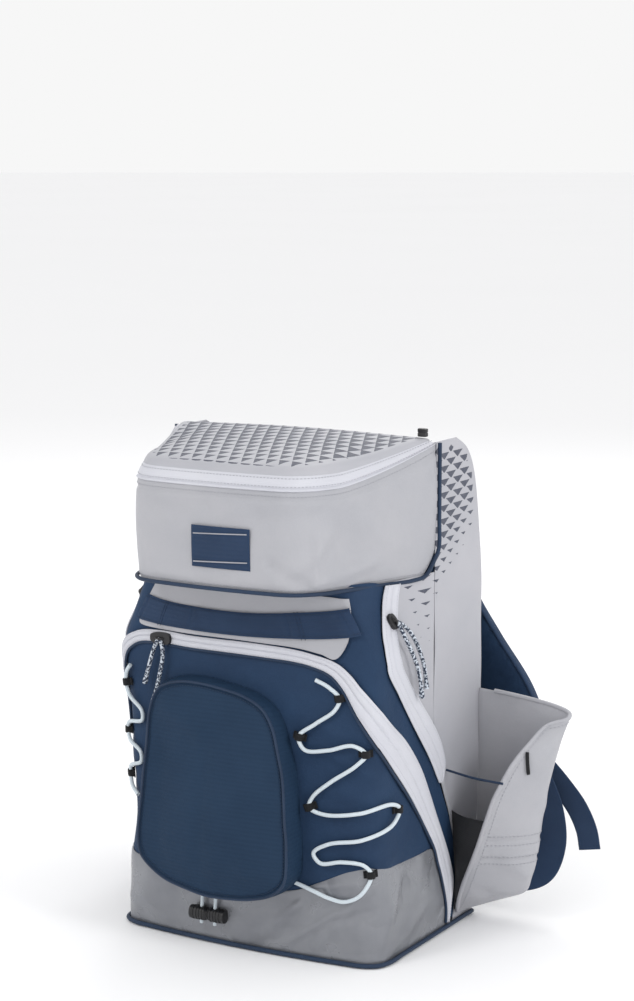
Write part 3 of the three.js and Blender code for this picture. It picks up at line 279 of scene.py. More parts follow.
def printLook(name, setup):
    # Rows of triangles, each row moved by half a cell. Inside one: side / reach + drop is less than its size,
    # where side is the distance from the cell's middle and drop the distance from the cell's top, as shares
    look, tree, shader = newLook(name)
    across, along = threadPlace(tree)
    solid = objectPlace(tree)
    rowPlace = calc(tree, "DIVIDE", along, setup["cellHeight"])
    row = calc(tree, "FLOOR", rowPlace)
    drop = calc(tree, "SUBTRACT", 1.0, calc(tree, "SUBTRACT", rowPlace, row))
    columnPlace = calc(tree, "DIVIDE", across, setup["cellWidth"])
    shifted = calc(tree, "ADD", columnPlace, calc(tree, "MULTIPLY", row, 0.5))
    side = calc(tree, "ABSOLUTE", calc(tree, "SUBTRACT", calc(tree, "FRACT", shifted), 0.5))
    size = addNode(tree, "ShaderNodeAttribute", attribute_name="printSize")
    uneven = noiseAt(tree, solid, setup["edgeScale"], 2.0)
    wobble = calc(tree, "MULTIPLY", calc(tree, "SUBTRACT", uneven, 0.5), setup["edgeWobble"])
    reach = calc(tree, "ADD", size.outputs["Fac"], wobble)
    used = calc(tree, "ADD", calc(tree, "DIVIDE", side, setup["reach"]), drop)
    shown = calc(tree, "GREATER_THAN", size.outputs["Fac"], 0.05)
    filled = calc(tree, "GREATER_THAN", calc(tree, "SUBTRACT", reach, used), 0)
    wear = rangeOf(tree, noiseAt(tree, solid, setup["wearScale"], 3.0), 0.78, 1)
    worn = calc(tree, "MULTIPLY", calc(tree, "MULTIPLY", filled, shown), wear)
    slow = noiseAt(tree, solid, 12, 4.0)
    ground = blendColours(tree, rangeOf(tree, slow, 0, 1, 0.3, 0.7), setup["colour"], setup["shade"])
    colour = blendColours(tree, worn, ground, setup["ink"])
    tree.links.new(colour, shader.inputs["Base Color"])
    shader.inputs["Roughness"].default_value = 0.5
    shader.inputs["Specular IOR Level"].default_value = 0.4
    shader.inputs["Sheen Weight"].default_value = 0.05
    creases = noiseAt(tree, solid, 34, 5.0, 0.6)
    first = bumpFrom(tree, shader, creases, 0.2, 0.004)
    bumpFrom(tree, shader, weave(tree, across, along, setup["thread"]), 0.45, 0.0003, first)
    return look


def webbingLook(name, setup):
    # Ribs along the strap with a slant across each rib, as in woven webbing
    look, tree, shader = newLook(name)
    across, along = threadPlace(tree)
    solid = objectPlace(tree)
    ribPlace = calc(tree, "FRACT", calc(tree, "DIVIDE", along, setup["rib"]))
    fromMiddle = calc(tree, "ABSOLUTE", calc(tree, "SUBTRACT", ribPlace, 0.5))
    slant = calc(tree, "ADD", across, calc(tree, "MULTIPLY", fromMiddle, setup["rib"] * 2))
    threads = calc(tree, "SINE", calc(tree, "MULTIPLY", slant, 2 * math.pi / setup["thread"]))
    slow = noiseAt(tree, solid, 20, 4.0)
    colour = blendColours(tree, rangeOf(tree, slow, 0, 1, 0.3, 0.7), setup["colour"], setup["shade"])
    colour = blendColours(tree, rangeOf(tree, threads, 0, 0.3, -1, 1), colour, setup["otherThread"])
    tree.links.new(colour, shader.inputs["Base Color"])
    tree.links.new(rangeOf(tree, slow, 0.66, 0.82), shader.inputs["Roughness"])
    shader.inputs["Sheen Weight"].default_value = 0.04
    shader.inputs["Specular IOR Level"].default_value = 0.3
    bumpFrom(tree, shader, threads, 0.6, 0.0004)
    return look


def cordLook(name, setup):
    # Braid: two sets of slanting threads round the cord, and flecks where the noise is high
    look, tree, shader = newLook(name)
    across, along = threadPlace(tree)
    solid = objectPlace(tree)
    turn = 2 * math.pi / setup["braid"]
    one = calc(tree, "SINE", calc(tree, "MULTIPLY", calc(tree, "ADD", across, along), turn))
    two = calc(tree, "SINE", calc(tree, "MULTIPLY", calc(tree, "SUBTRACT", across, along), turn))
    threads = calc(tree, "MULTIPLY", one, two)
    colour = blendColours(tree, rangeOf(tree, threads, 0, 0.35, -1, 1), setup["colour"], setup["shade"])
    if "fleck" in setup:
        spots = noiseAt(tree, cutPlace(tree), setup["fleckScale"], 1.0)
        colour = blendColours(tree, rangeOf(tree, spots, 0, 1, 0.49, 0.53), colour, setup["fleck"])
    else:
        slow = noiseAt(tree, solid, 30, 3.0)
        colour = blendColours(tree, rangeOf(tree, slow, 0, 0.3), colour, setup["shade"])
    tree.links.new(colour, shader.inputs["Base Color"])
    shader.inputs["Roughness"].default_value = 0.7
    shader.inputs["Sheen Weight"].default_value = 0.15
    bumpFrom(tree, shader, threads, 0.6, 0.0003)
    return look


def mouldedLook(name, setup):
    # Satin black plastic with the fine spark texture of a mould and a little rubbed wear
    look, tree, shader = newLook(name)
    solid = objectPlace(tree)
    slow = noiseAt(tree, solid, 60, 3.0)
    colour = blendColours(tree, rangeOf(tree, slow, 0, 1, 0.35, 0.7), setup["colour"], setup["shade"])
    tree.links.new(colour, shader.inputs["Base Color"])
    tree.links.new(rangeOf(tree, slow, 0.34, 0.5), shader.inputs["Roughness"])
    bumpFrom(tree, shader, noiseAt(tree, solid, 2200, 2.0), 0.25, 0.0002)
    return look


lightClothSetup = {"colour": (172, 172, 177), "shade": (163, 164, 170), "otherThread": (188, 188, 193),
                   "thread": 0.0012, "rough": 0.46, "crease": 0.26, "speck": 0.1, "sheen": 0.03,
                   "specular": 0.45}
navySetup = {"colour": (38, 60, 88), "shade": (31, 50, 76), "otherThread": (56, 80, 110), "thread": 0.0011,
             "rough": 0.6, "crease": 0.5, "speck": 0.1, "sheen": 0.0, "specular": 0.16, "creaseScale": 30}
ribbedSetup = {"colour": (34, 54, 77), "shade": (29, 48, 70), "otherThread": (46, 68, 93), "thread": 0.0011,
               "rough": 0.62, "crease": 0.45, "speck": 0.1, "sheen": 0.0, "specular": 0.12, "rib": 0.0042,
               "ribHeight": 0.45, "ribShade": 0.12}
meshSetup = {"colour": (30, 31, 34), "shade": (18, 19, 22), "otherThread": (48, 49, 54), "thread": 0.0022,
             "rough": 0.8, "crease": 0.3, "speck": 0.2, "sheen": 0.05}
tapeSetup = {"colour": (204, 205, 212), "shade": (196, 197, 205), "otherThread": (214, 215, 222),
             "thread": 0.0009, "rough": 0.55, "crease": 0.12, "speck": 0.12, "sheen": 0.04, "rib": 0.0016,
             "ribHeight": 0.4, "ribShade": 0.1}
pipingSetup = {"colour": (30, 50, 76), "shade": (22, 39, 62), "otherThread": (52, 76, 106), "thread": 0.0009,
               "rough": 0.6, "crease": 0.1, "speck": 0.15, "sheen": 0.04}
stitchSetup = {"thread": 0.0005, "rough": 0.6, "crease": 0.05, "speck": 0.1, "sheen": 0.03}
greyThread = {"colour": (162, 163, 170), "shade": (153, 154, 162), "otherThread": (178, 179, 185)}
whiteThread = {"colour": (192, 193, 201), "shade": (184, 185, 194), "otherThread": (204, 205, 212)}
navyThread = {"colour": (34, 54, 82), "shade": (28, 46, 72), "otherThread": (70, 96, 128)}
tarpaulinSetup = {"colour": (136, 138, 143), "shade": (122, 124, 130), "metal": 0.35, "patchScale": 16,
                  "crumpleScale": 15, "crumple": 0.7, "thread": 0.0014}
printSetup = {"colour": (178, 178, 184), "shade": (169, 170, 177), "ink": (26, 36, 62), "edgeScale": 300,
              "edgeWobble": 0.2, "wearScale": 160, "thread": 0.0013}
sideCell = {"cellWidth": 0.0292, "cellHeight": 0.0065, "reach": 0.34}
topCell = {"cellWidth": 0.0137, "cellHeight": 0.0148, "reach": 0.5}
webbingSetup = {"colour": (39, 61, 92), "shade": (31, 51, 80), "otherThread": (58, 84, 118), "rib": 0.0044,
                "thread": 0.0013}
loopSetup = {"colour": (22, 23, 26), "shade": (14, 15, 17), "otherThread": (44, 45, 50), "rib": 0.003,
             "thread": 0.0011}
bungeeSetup = {"colour": (218, 228, 234), "shade": (190, 203, 213), "braid": 0.0016}
speckledSetup = {"colour": (30, 45, 70), "shade": (20, 33, 54), "braid": 0.0014, "fleck": (206, 214, 224),
                 "fleckScale": 420}
mouldedSetup = {"colour": (20, 20, 22), "shade": (34, 34, 37)}

looks = {
    "light": clothLook("lightCoatedCloth", lightClothSetup),
    "navy": clothLook("navyCloth", navySetup),
    "ribbed": clothLook("navyRibbedCloth", ribbedSetup),
    "mesh": clothLook("blackMeshCloth", meshSetup),
    "tape": clothLook("whiteZipTape", tapeSetup),
    "piping": clothLook("navyPiping", pipingSetup),
    "stitchLight": clothLook("greyThread", {**stitchSetup, **greyThread}),
    "stitchTape": clothLook("whiteThread", {**stitchSetup, **whiteThread}),
    "stitchNavy": clothLook("navyThread", {**stitchSetup, **navyThread}),
    "silver": tarpaulinLook("silverTarpaulin", tarpaulinSetup),
    "sidePrint": printLook("sideTrianglePrint", {**printSetup, **sideCell}),
    "topPrint": printLook("topTrianglePrint", {**printSetup, **topCell}),
    "webbing": webbingLook("navyWebbing", webbingSetup),
    "blackWebbing": webbingLook("blackWebbing", loopSetup),
    "cord": cordLook("whiteBungee", bungeeSetup),
    "speckled": cordLook("speckledCord", speckledSetup),
    "moulded": mouldedLook("blackMoulding", mouldedSetup),
}
print("materials made:", len(looks))


# Mesh helpers. Shapes are worked out in millimetres as whole arrays and turned to metres in meshPiece.

def unit(vectors):
    # Each vector over its own length
    return vectors / np.maximum(np.linalg.norm(vectors, axis=-1, keepdims=True), 1e-9)


def mix(first, second, share):
    # The value at a share of the way from first to second
    return first + (second - first) * share


def signedVolume(points, quads, tris):
    # Sum over the triangles of a dot (b cross c): above 0 where they face outwards
    halves = np.concatenate([quads[:, [0, 1, 2]], quads[:, [0, 2, 3]], tris])
    a, b, c = points[halves[:, 0]], points[halves[:, 1]], points[halves[:, 2]]
    return np.einsum("ij,ij->", a, np.cross(b, c))


def meshPiece(name, points, quads, look, nodes=(), uv=None, fields=None, tris=None, sharp=50):
    # Closed mesh from arrays, faces turned outwards by the sign of its volume, riding on the bag's one body
    quads = np.asarray(quads, int).reshape(-1, 4)
    tris = np.asarray(tris if tris is not None else np.zeros((0, 3)), int).reshape(-1, 3)
    if signedVolume(points, quads, tris) < 0:
        quads = quads[:, ::-1]
        tris = tris[:, ::-1]
    corners = np.concatenate([quads.ravel(), tris.ravel()])
    sizes = np.concatenate([np.full(len(quads), 4), np.full(len(tris), 3)])
    starts = np.concatenate([[0], np.cumsum(sizes)[:-1]])
    mesh = bpy.data.meshes.new(name)
    mesh.vertices.add(len(points))
    mesh.vertices.foreach_set("co", (points * mm).astype(np.float32).ravel())
    mesh.loops.add(len(corners))
    mesh.loops.foreach_set("vertex_index", corners.astype(np.int32))
    mesh.polygons.add(len(sizes))
    mesh.polygons.foreach_set("loop_start", starts.astype(np.int32))
    mesh.polygons.foreach_set("use_smooth", np.ones(len(sizes), bool))
    mesh.update(calc_edges=True)
    if uv is None:
        uv = points[:, [0, 2]]
    layer = mesh.uv_layers.new(name="cut")
    layer.data.foreach_set("uv", (uv[corners] * mm).astype(np.float32).ravel())
    for key, values in (fields or {}).items():
        field = mesh.attributes.new(key, "FLOAT", "POINT")
        field.data.foreach_set("value", np.asarray(values, np.float32).ravel())
    mesh.set_sharp_from_angle(angle=math.radians(sharp))
    mesh.materials.append(looks[look])
    piece = bpy.data.objects.new(name, mesh)
    bpy.context.scene.collection.objects.link(piece)
    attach(piece, "root")
    if nodes:
        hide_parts(*nodes)
    return piece


def gridQuads(rows, columns, closeRows=False, closeColumns=False):
    # Quads of a rows x columns grid of points, numbered along each row in turn
    i = np.arange(rows if closeRows else rows - 1)
    j = np.arange(columns if closeColumns else columns - 1)
    i, j = np.meshgrid(i, j, indexing="ij")
    i2 = (i + 1) % rows
    j2 = (j + 1) % columns
    corners = [i * columns + j, i2 * columns + j, i2 * columns + j2, i * columns + j2]
    return np.stack(corners, -1).reshape(-1, 4)


def gridNormals(grid):
    # Cross product of the two central differences
    return unit(np.cross(np.gradient(grid, axis=0), np.gradient(grid, axis=1)))


def gridUv(grid):
    # Mean arc length along each of the grid's two directions, in millimetres
    along = np.linalg.norm(np.diff(grid, axis=0), axis=-1).mean(1)
    across = np.linalg.norm(np.diff(grid, axis=1), axis=-1).mean(0)
    u = np.concatenate([[0], np.cumsum(along)])
    v = np.concatenate([[0], np.cumsum(across)])
    return np.stack(np.meshgrid(u, v, indexing="ij"), -1)


def joinedGrids(outer, inner):
    # The closed body between two equal grids: both grids, and quads that join their borders
    rows, columns, _ = outer.shape
    count = rows * columns
    points = np.concatenate([outer.reshape(-1, 3), inner.reshape(-1, 3)])
    face = gridQuads(rows, columns)
    border = np.concatenate([
        np.arange(columns), np.arange(1, rows) * columns + columns - 1,
        (rows - 1) * columns + np.arange(columns - 2, -1, -1), np.arange(rows - 2, 0, -1) * columns])
    after = np.roll(border, -1)
    rim = np.stack([border, after, after + count, border + count], -1)
    return points, np.concatenate([face, face[:, ::-1] + count, rim])


hemShare = 0.3


def clothPiece(name, outer, inner, look, nodes=(), uv=None, printSize=None):
    # A closed sheet between two equal grids, whose edges are drawn together to round the hem
    edge = np.zeros((*outer.shape[:2], 1))
    edge[[0, -1]] = hemShare
    edge[:, [0, -1]] = hemShare
    points, quads = joinedGrids(mix(outer, inner, edge), mix(inner, outer, edge))
    if uv is None:
        uv = gridUv(outer)
    flatUv = np.concatenate([uv.reshape(-1, 2)] * 2)
    fields = {} if printSize is None else {"printSize": np.concatenate([printSize.ravel()] * 2)}
    return meshPiece(name, points, quads, look, nodes, flatUv, fields)


def throughPoints(points, steps):
    # Catmull-Rom curve through the points, its knots a gap's square root apart, then spaced evenly by length
    p = np.asarray(points, float)
    p = np.concatenate([[2 * p[0] - p[1]], p, [2 * p[-1] - p[-2]]])
    gap = np.sqrt(np.linalg.norm(np.diff(p, axis=0), axis=1))
    t = np.concatenate([[0], np.cumsum(gap)])[:, None]
    slope = ((p[1:-1] - p[:-2]) / (t[1:-1] - t[:-2]) - (p[2:] - p[:-2]) / (t[2:] - t[:-2])
             + (p[2:] - p[1:-1]) / (t[2:] - t[1:-1]))
    span = np.diff(t[1:-1], axis=0)[:, None]
    s = np.linspace(0, 1, 24, endpoint=False)[None, :, None]
    a, b = p[1:-2][:, None], p[2:-1][:, None]
    ma, mb = slope[:-1][:, None] * span, slope[1:][:, None] * span
    dense = (2 * a - 2 * b + ma + mb) * s ** 3 + (-3 * a + 3 * b - 2 * ma - mb) * s ** 2 + ma * s + a
    dense = np.concatenate([dense.reshape(-1, 3), p[-2:-1]])
    return evenly(dense, steps)


def evenly(path, steps):
    # The same line with steps + 1 points at equal lengths
    length = np.concatenate([[0], np.cumsum(np.linalg.norm(np.diff(path, axis=0), axis=1))])
    at = np.linspace(0, length[-1], steps + 1)
    return np.stack([np.interp(at, length, path[:, k]) for k in range(3)], -1)


def roundProfile(radius, sides=12):
    # A circle of even sides
    angle = 2 * np.pi * np.arange(sides) / sides
    return radius * np.stack([np.cos(angle), np.sin(angle)], -1)


def strapProfile(width, thickness, sides=28, power=5.0):
    # A superellipse: flat faces with rounded edges
    angle = 2 * np.pi * np.arange(sides) / sides
    c, s = np.cos(angle), np.sin(angle)
    x = np.sign(c) * np.abs(c) ** (2 / power) * width / 2
    y = np.sign(s) * np.abs(s) ** (2 / power) * thickness / 2
    return np.stack([x, y], -1)


def sweepPoints(path, normals, profile, scale=None):
    # The profile at each point of the path, square to it. The profile's first number runs across the path
    # and its second along the normal
    tangent = unit(np.gradient(path, axis=0))
    across = unit(np.cross(tangent, np.broadcast_to(normals, path.shape)))
    upward = np.cross(across, tangent)
    size = np.ones(len(path)) if scale is None else scale
    shape = profile[None] * size[:, None, None]
    return path[:, None] + across[:, None] * shape[..., :1] + upward[:, None] * shape[..., 1:]


def sweepPiece(name, path, normals, profile, look, nodes=(), scale=None):
    # A closed rod or strap with a flat cap of triangles at each end
    ring = sweepPoints(path, normals, profile, scale)
    steps, sides, _ = ring.shape
    points = np.concatenate([ring.reshape(-1, 3), ring[:1].mean(1), ring[-1:].mean(1)])
    quads = gridQuads(steps, sides, closeColumns=True)
    k = np.arange(sides)
    k2 = (k + 1) % sides
    count = steps * sides
    first = np.stack([k2, k, np.full(sides, count)], -1)
    last = np.stack([count - sides + k, count - sides + k2, np.full(sides, count + 1)], -1)
    length = np.concatenate([[0], np.cumsum(np.linalg.norm(np.diff(path, axis=0), axis=1))])
    girth = np.concatenate([[0], np.cumsum(np.linalg.norm(np.diff(profile, axis=0), axis=1))])
    u, v = np.meshgrid(length, girth, indexing="ij")
    uv = np.concatenate([np.stack([u, v], -1).reshape(-1, 2), [[0, 0], [length[-1], 0]]])
    caps = np.concatenate([first, last])
    return meshPiece(name, points, quads, look, nodes, uv, tris=caps, sharp=60)


def joinedPiece(name, parts, look, nodes=()):
    # Several closed bodies as one mesh; each part is (points, quads)
    points = np.concatenate([part[0] for part in parts])
    offsets = np.cumsum([0] + [len(part[0]) for part in parts[:-1]])
    quads = np.concatenate([part[1] + offset for part, offset in zip(parts, offsets)])
    return meshPiece(name, points, quads, look, nodes)


def stitchPiece(name, lines, look, pitch=3.4, length=2.3, radius=0.38):
    # Short threads along each line; a stitch is a ring tube of four sides, pinched at both ends
    allPoints = []
    allQuads = []
    count = 0
    share = np.array([-0.5, -0.38, 0.0, 0.38, 0.5])
    girth = np.array([0.25, 0.85, 1.0, 0.85, 0.25])
    rings, sides = len(share), 4
    angle = np.pi / 4 + np.pi / 2 * np.arange(sides)
    ends = np.arange(sides)
    caps = np.stack([ends[::-1], (rings - 1) * sides + ends])
    stitch = np.concatenate([gridQuads(rings, sides, closeColumns=True), caps])
    for path, normals in lines:
        total = np.linalg.norm(np.diff(path, axis=0), axis=1).sum()
        steps = max(int(total / pitch), 2)
        centre = evenly(path, steps)
        tangent = unit(np.gradient(centre, axis=0))
        index = np.linspace(0, len(path) - 1, steps + 1).round().astype(int)
        normal = np.broadcast_to(normals, path.shape)[index]
        across = unit(np.cross(tangent, normal))
        upward = np.cross(across, tangent)
        along = tangent[:, None, None] * (share * length)[None, :, None, None]
        turned = (across[:, None, None] * np.cos(angle)[None, None, :, None]
                  + upward[:, None, None] * np.sin(angle)[None, None, :, None])
        ring = centre[:, None, None] + along + turned * (girth * radius)[None, :, None, None]
        offsets = (np.arange(steps + 1) * rings * sides)[:, None, None]
        allPoints.append(ring.reshape(-1, 3))
        allQuads.append((stitch[None] + offsets).reshape(-1, 4) + count)
        count += (steps + 1) * rings * sides
    return meshPiece(name, np.concatenate(allPoints), np.concatenate(allQuads), look)


def waves(points, seed, size, height, count=7):
    # Sum of sine waves in seeded random directions: soft unevenness of sewn cloth
    rng = np.random.default_rng(seed)
    direction = unit(rng.normal(size=(count, 3)))
    pitch = size * rng.uniform(0.6, 1.6, count)
    phase = rng.uniform(0, 2 * np.pi, count)
    return height * np.sin(points @ direction.T * 2 * np.pi / pitch + phase).mean(-1) * 2


def fold(x, y, start, end, width, height):
    # A ridge of Gaussian section along the line from start to end, fading at both ends
    start, end = np.array(start, float), np.array(end, float)
    line = end - start
    length = np.linalg.norm(line)
    along = ((x - start[0]) * line[0] + (y - start[1]) * line[1]) / length ** 2
    off = ((x - start[0]) * line[1] - (y - start[1]) * line[0]) / length
    fade = np.exp(-(np.clip(np.abs(along - 0.5) - 0.35, 0, None) / 0.18) ** 2)
    return height * np.exp(-(off / width) ** 2) * fade


def creased(height, x, y, creases):
    # The height with the ridges of a table added: start, end, half width and height in millimetres
    for start, end, width, tall in creases:
        height = height + fold(x, y, start, end, width, tall)
    return height


# The bag's skin, with the same named sizes as the frame
body = {"halfWidth": 150, "depth": 204, "frontReach": 104, "wallHeight": 372, "bagHeight": 500,
        "sideShare": 0.985, "pinchReach": 0.35, "shoulderHalfFront": 103, "shoulderReach": 112,
        "dividerY": 8.4}
bodyColumn = {"left": 1, "right": 2, "forward": 3, "bulge": 4, "corner": 5}
bodyRows = np.array([  # up, left, right, forward, bulge, corner
    (0, 0.985, 0.985, 1, 0.05, 0.14), (0.15, 0.98, 0.99, 1.01, 0.07, 0.16),
    (0.34, 0.93, 0.985, 1.02, 0.085, 0.18), (0.55, 0.95, 0.985, 1.02, 0.075, 0.16),
    (0.78, 0.99, 0.99, 1.02, 0.04, 0.13), (1, 0.985, 0.985, 1, 0.03, 0.16)])
rearRows = np.array([  # share of bagHeight, share of depth behind the middle
    (0, 0.49), (0.2, 0.545), (0.45, 0.57), (0.69, 0.56), (0.82, 0.52), (0.905, 0.48), (0.96, 0.425),
    (0.99, 0.34), (1, 0.27)])


def readRows(rows, column, at):
    # Smooth step between the two rows round each value
    keys, values = rows[:, 0], rows[:, column]
    i = np.clip(np.searchsorted(keys, at) - 1, 0, len(keys) - 2)
    t = np.clip((at - keys[i]) / (keys[i + 1] - keys[i]), 0, 1)
    return mix(values[i], values[i + 1], t * t * (3 - 2 * t))


def rearY(z):
    # The back edge of the side walls at a height: the table's share of the depth
    return body["depth"] * readRows(rearRows, 1, np.asarray(z, float) / body["bagHeight"])


def aroundAtY(y):
    # The share around of a place on the side, 1 at the front corner
    return 1 + (y + body["frontReach"]) / body["depth"]


def flatPlace(around, up):
    # Millimetres across and up of the shares around and up
    return around * body["halfWidth"], up * body["wallHeight"]


def sharesAt(x, z):
    # The shares around and up of a place on the front
    return x / body["halfWidth"], z / body["wallHeight"]


def skinBase(around, up):
    # Half plan by shares: flat front, quadratic corner, flat side; above 0.8 it leans to the shoulder's plan
    around, up = np.broadcast_arrays(np.asarray(around, float), np.asarray(up, float))
    side = np.where(around < 0, -1.0, 1.0)
    a = np.abs(around)
    level = np.clip(up, 0, 1)

    def read(column):
        return readRows(bodyRows, bodyColumn[column], level)

    pinched = np.where(side < 0, read("left"), read("right"))
    half = body["halfWidth"] * mix(pinched, body["sideShare"], np.clip((a - 1) / body["pinchReach"], 0, 1))
    front = body["frontReach"] * read("forward")
    bulge = body["depth"] * read("bulge")
    radius = body["halfWidth"] * read("corner")
    alongFront = radius / body["halfWidth"]
    alongSide = radius / body["depth"]
    sideY = -body["frontReach"] + (a - 1) * body["depth"]
    t = np.clip((a - 1 + alongFront) / (alongFront + alongSide), 0, 1)
    curveX = (1 - t) ** 2 * (1 - alongFront) * half + 2 * t * (1 - t) * half + t * t * half
    curveY = -(1 - t) ** 2 * front - 2 * t * (1 - t) * front + t * t * (radius - body["frontReach"])
    x = np.where(a < 1 - alongFront, a * half, np.where(a > 1 + alongSide, half, curveX))
    y = np.where(a < 1 - alongFront, -front, np.where(a > 1 + alongSide, sideY, curveY))
    y = y - np.where(a < 1, bulge * (1 - (x / half) ** 2), 0)
    lean = np.clip((up - 0.8) / 0.2, 0, 1) ** 1.3
    share = np.clip((a - 1) / 0.55, 0, 1)
    topX = np.where(a < 1, a * body["shoulderHalfFront"], mix(body["shoulderHalfFront"], half, share))
    topY = np.where(a < 1, -body["shoulderReach"], mix(-body["shoulderReach"], sideY, share))
    return np.stack([side * mix(x, topX, lean), mix(y, topY, lean), up * body["wallHeight"]], -1)


def skinNormal(around, up):
    # Cross product of the skin's two small differences
    step = 0.004
    da = skinBase(around + step, up) - skinBase(around - step, up)
    du = skinBase(around, up + step) - skinBase(around, up - step)
    return unit(np.cross(da, du))


def skinPoint(around, up, height):
    # The skin moved out along its normal by the height
    lift = np.asarray(height, float)[..., None]
    return skinBase(around, up) + skinNormal(around, up) * lift


def splineAt(points, share):
    # Uniform Catmull-Rom curve through table rows
    p = np.asarray(points, float)
    last = len(p) - 1
    place = np.clip(share, 0, 1) * last
    i = np.minimum(np.floor(place).astype(int), last - 1)
    w = (place - i)[:, None]
    p0, p1 = p[np.maximum(i - 1, 0)], p[i]
    p2, p3 = p[np.minimum(i + 1, last)], p[np.minimum(i + 2, last)]
    m1, m2 = (p2 - p0) / 2, (p3 - p1) / 2
    return (2 * p1 - 2 * p2 + m1 + m2) * w ** 3 + (-3 * p1 + 3 * p2 - 2 * m1 - m2) * w ** 2 + m1 * w + p1


def betweenCurves(lower, upper, uSteps, vSteps):
    # Shares around and up over a panel between two edge tables
    u = np.linspace(0, 1, uSteps + 1)
    v = np.linspace(0, 1, vSteps + 1)[None, :, None]
    place = mix(splineAt(lower, u)[:, None], splineAt(upper, u)[:, None], v)
    return place[..., 0], place[..., 1]


def mirroredRows(rows, columns):
    # The same rows for the left side, in the opposite order
    copy = np.array(rows, float)[::-1].copy()
    copy[:, columns] *= -1
    return copy


# Ribs from the floor up on the right and over to the left:
# inner and outer edge of the front zip tape, then the panel's own end, each as around and up
ribsRight = np.array([
    (1.68, 0.02, 1.705, 0.02, 1.775, 0.02), (1.68, 0.07, 1.725, 0.06, 1.8, 0.07),
    (1.64, 0.145, 1.755, 0.125, 1.825, 0.135), (1.59, 0.205, 1.72, 0.19, 1.79, 0.215),
    (1.545, 0.255, 1.65, 0.262, 1.72, 0.315), (1.43, 0.335, 1.56, 0.345, 1.63, 0.41),
    (1.315, 0.41, 1.48, 0.42, 1.575, 0.438), (1.22, 0.465, 1.39, 0.495, 1.48, 0.51),
    (1.08, 0.54, 1.245, 0.58, 1.31, 0.617), (0.955, 0.61, 1.08, 0.65, 1.16, 0.715),
    (0.84, 0.685, 0.913, 0.73, 1.055, 0.79), (0.753, 0.74, 0.8, 0.78, 1.1, 0.855),
    (0.66, 0.774, 0.69, 0.808, 1.22, 0.925), (0.53, 0.79, 0.535, 0.822, 1.31, 0.978),
    (0.39, 0.797, 0.393, 0.829, 0.9, 0.982), (0.2, 0.799, 0.2, 0.832, 0.45, 0.994)])
ribsMiddle = np.array([
    (0, 0.8, 0, 0.833, 0, 0.994), (-0.2, 0.8, -0.2, 0.832, -0.3, 0.994),
    (-0.4, 0.8, -0.4, 0.832, -0.55, 0.994), (-0.66, 0.803, -0.66, 0.835, -0.9, 0.982),
    (-0.82, 0.795, -0.845, 0.826, -1.31, 0.978),
    (-0.92, 0.762, -0.97, 0.785, -1.1, 0.87), (-0.98, 0.7, -1.04, 0.725, -1.075, 0.8),
    (-1.02, 0.62, -1.12, 0.66, -1.16, 0.715)])
zipRibs = np.concatenate([ribsRight, ribsMiddle, mirroredRows(ribsRight[:9], [0, 2, 4])])
hemRight = np.array([  # hem between the silver base and the navy cloth: around, up
    (1.68, 0.055), (1.655, 0.115), (1.62, 0.16), (1.59, 0.205), (1.545, 0.245), (1.4, 0.25), (1.2, 0.256),
    (1, 0.264), (0.93, 0.268), (0.8, 0.256), (0.58, 0.215), (0.39, 0.185)])
hemRows = np.concatenate([
    hemRight, [(0, 0.165), (-0.39, 0.172), (-0.62, 0.185), (-0.92, 0.205), (-1, 0.212), (-1.2, 0.232)],
    mirroredRows(hemRight[:6], [0])])[::-1]
mainZipRows = np.array([  # front edge and back edge of the main zip tape, each as around and up
    (1.598, 0.422, 1.62, 0.425), (1.575, 0.438, 1.652, 0.481), (1.48, 0.51, 1.57, 0.565),
    (1.31, 0.617, 1.385, 0.672), (1.16, 0.715, 1.25, 0.75), (1.055, 0.79, 1.19, 0.805),
    (1.1, 0.855, 1.225, 0.852), (1.22, 0.925, 1.32, 0.92), (1.33, 0.992, 1.4, 0.99)])
clothWall = 2.0
tapeLift = 3.4
floorGap = 3.35
floorUp = floorGap / body["wallHeight"]


def hemUp(around):
    # The hem's share up, straight between its rows
    return np.interp(around, hemRows[:, 0], hemRows[:, 1])


# Lacing routes by around and up; the loops stand at the listed rows
laceRight = np.array([
    (0.57, 0.757), (0.66, 0.742), (0.74, 0.715), (0.71, 0.683), (0.58, 0.643), (0.465, 0.605), (0.51, 0.573),
    (0.67, 0.578), (0.84, 0.596), (0.91, 0.576), (0.86, 0.546), (0.69, 0.495), (0.57, 0.452), (0.545, 0.423),
    (0.65, 0.408), (0.88, 0.42), (1.08, 0.434), (1.16, 0.411), (1.08, 0.376), (0.89, 0.349), (0.68, 0.331),
    (0.575, 0.303), (0.62, 0.278), (0.77, 0.287), (0.9, 0.281), (0.94, 0.256), (0.88, 0.203), (0.78, 0.18),
    (0.67, 0.185), (0.58, 0.197), (0.5, 0.208), (0.4, 0.22)])
laceLeft = np.array([
    (-0.88, 0.73), (-0.915, 0.71), (-0.935, 0.68), (-0.9, 0.645), (-0.8, 0.61), (-0.8, 0.585), (-0.93, 0.57),
    (-0.98, 0.545), (-0.92, 0.52), (-0.82, 0.495), (-0.82, 0.47), (-0.93, 0.45), (-0.98, 0.425),
    (-0.94, 0.395), (-0.86, 0.375)])
laceSides = [
    {"side": "right", "rows": laceRight, "loops": [2, 5, 9, 13, 17, 25]},
    {"side": "left", "rows": laceLeft, "loops": [2, 7, 12]},
]


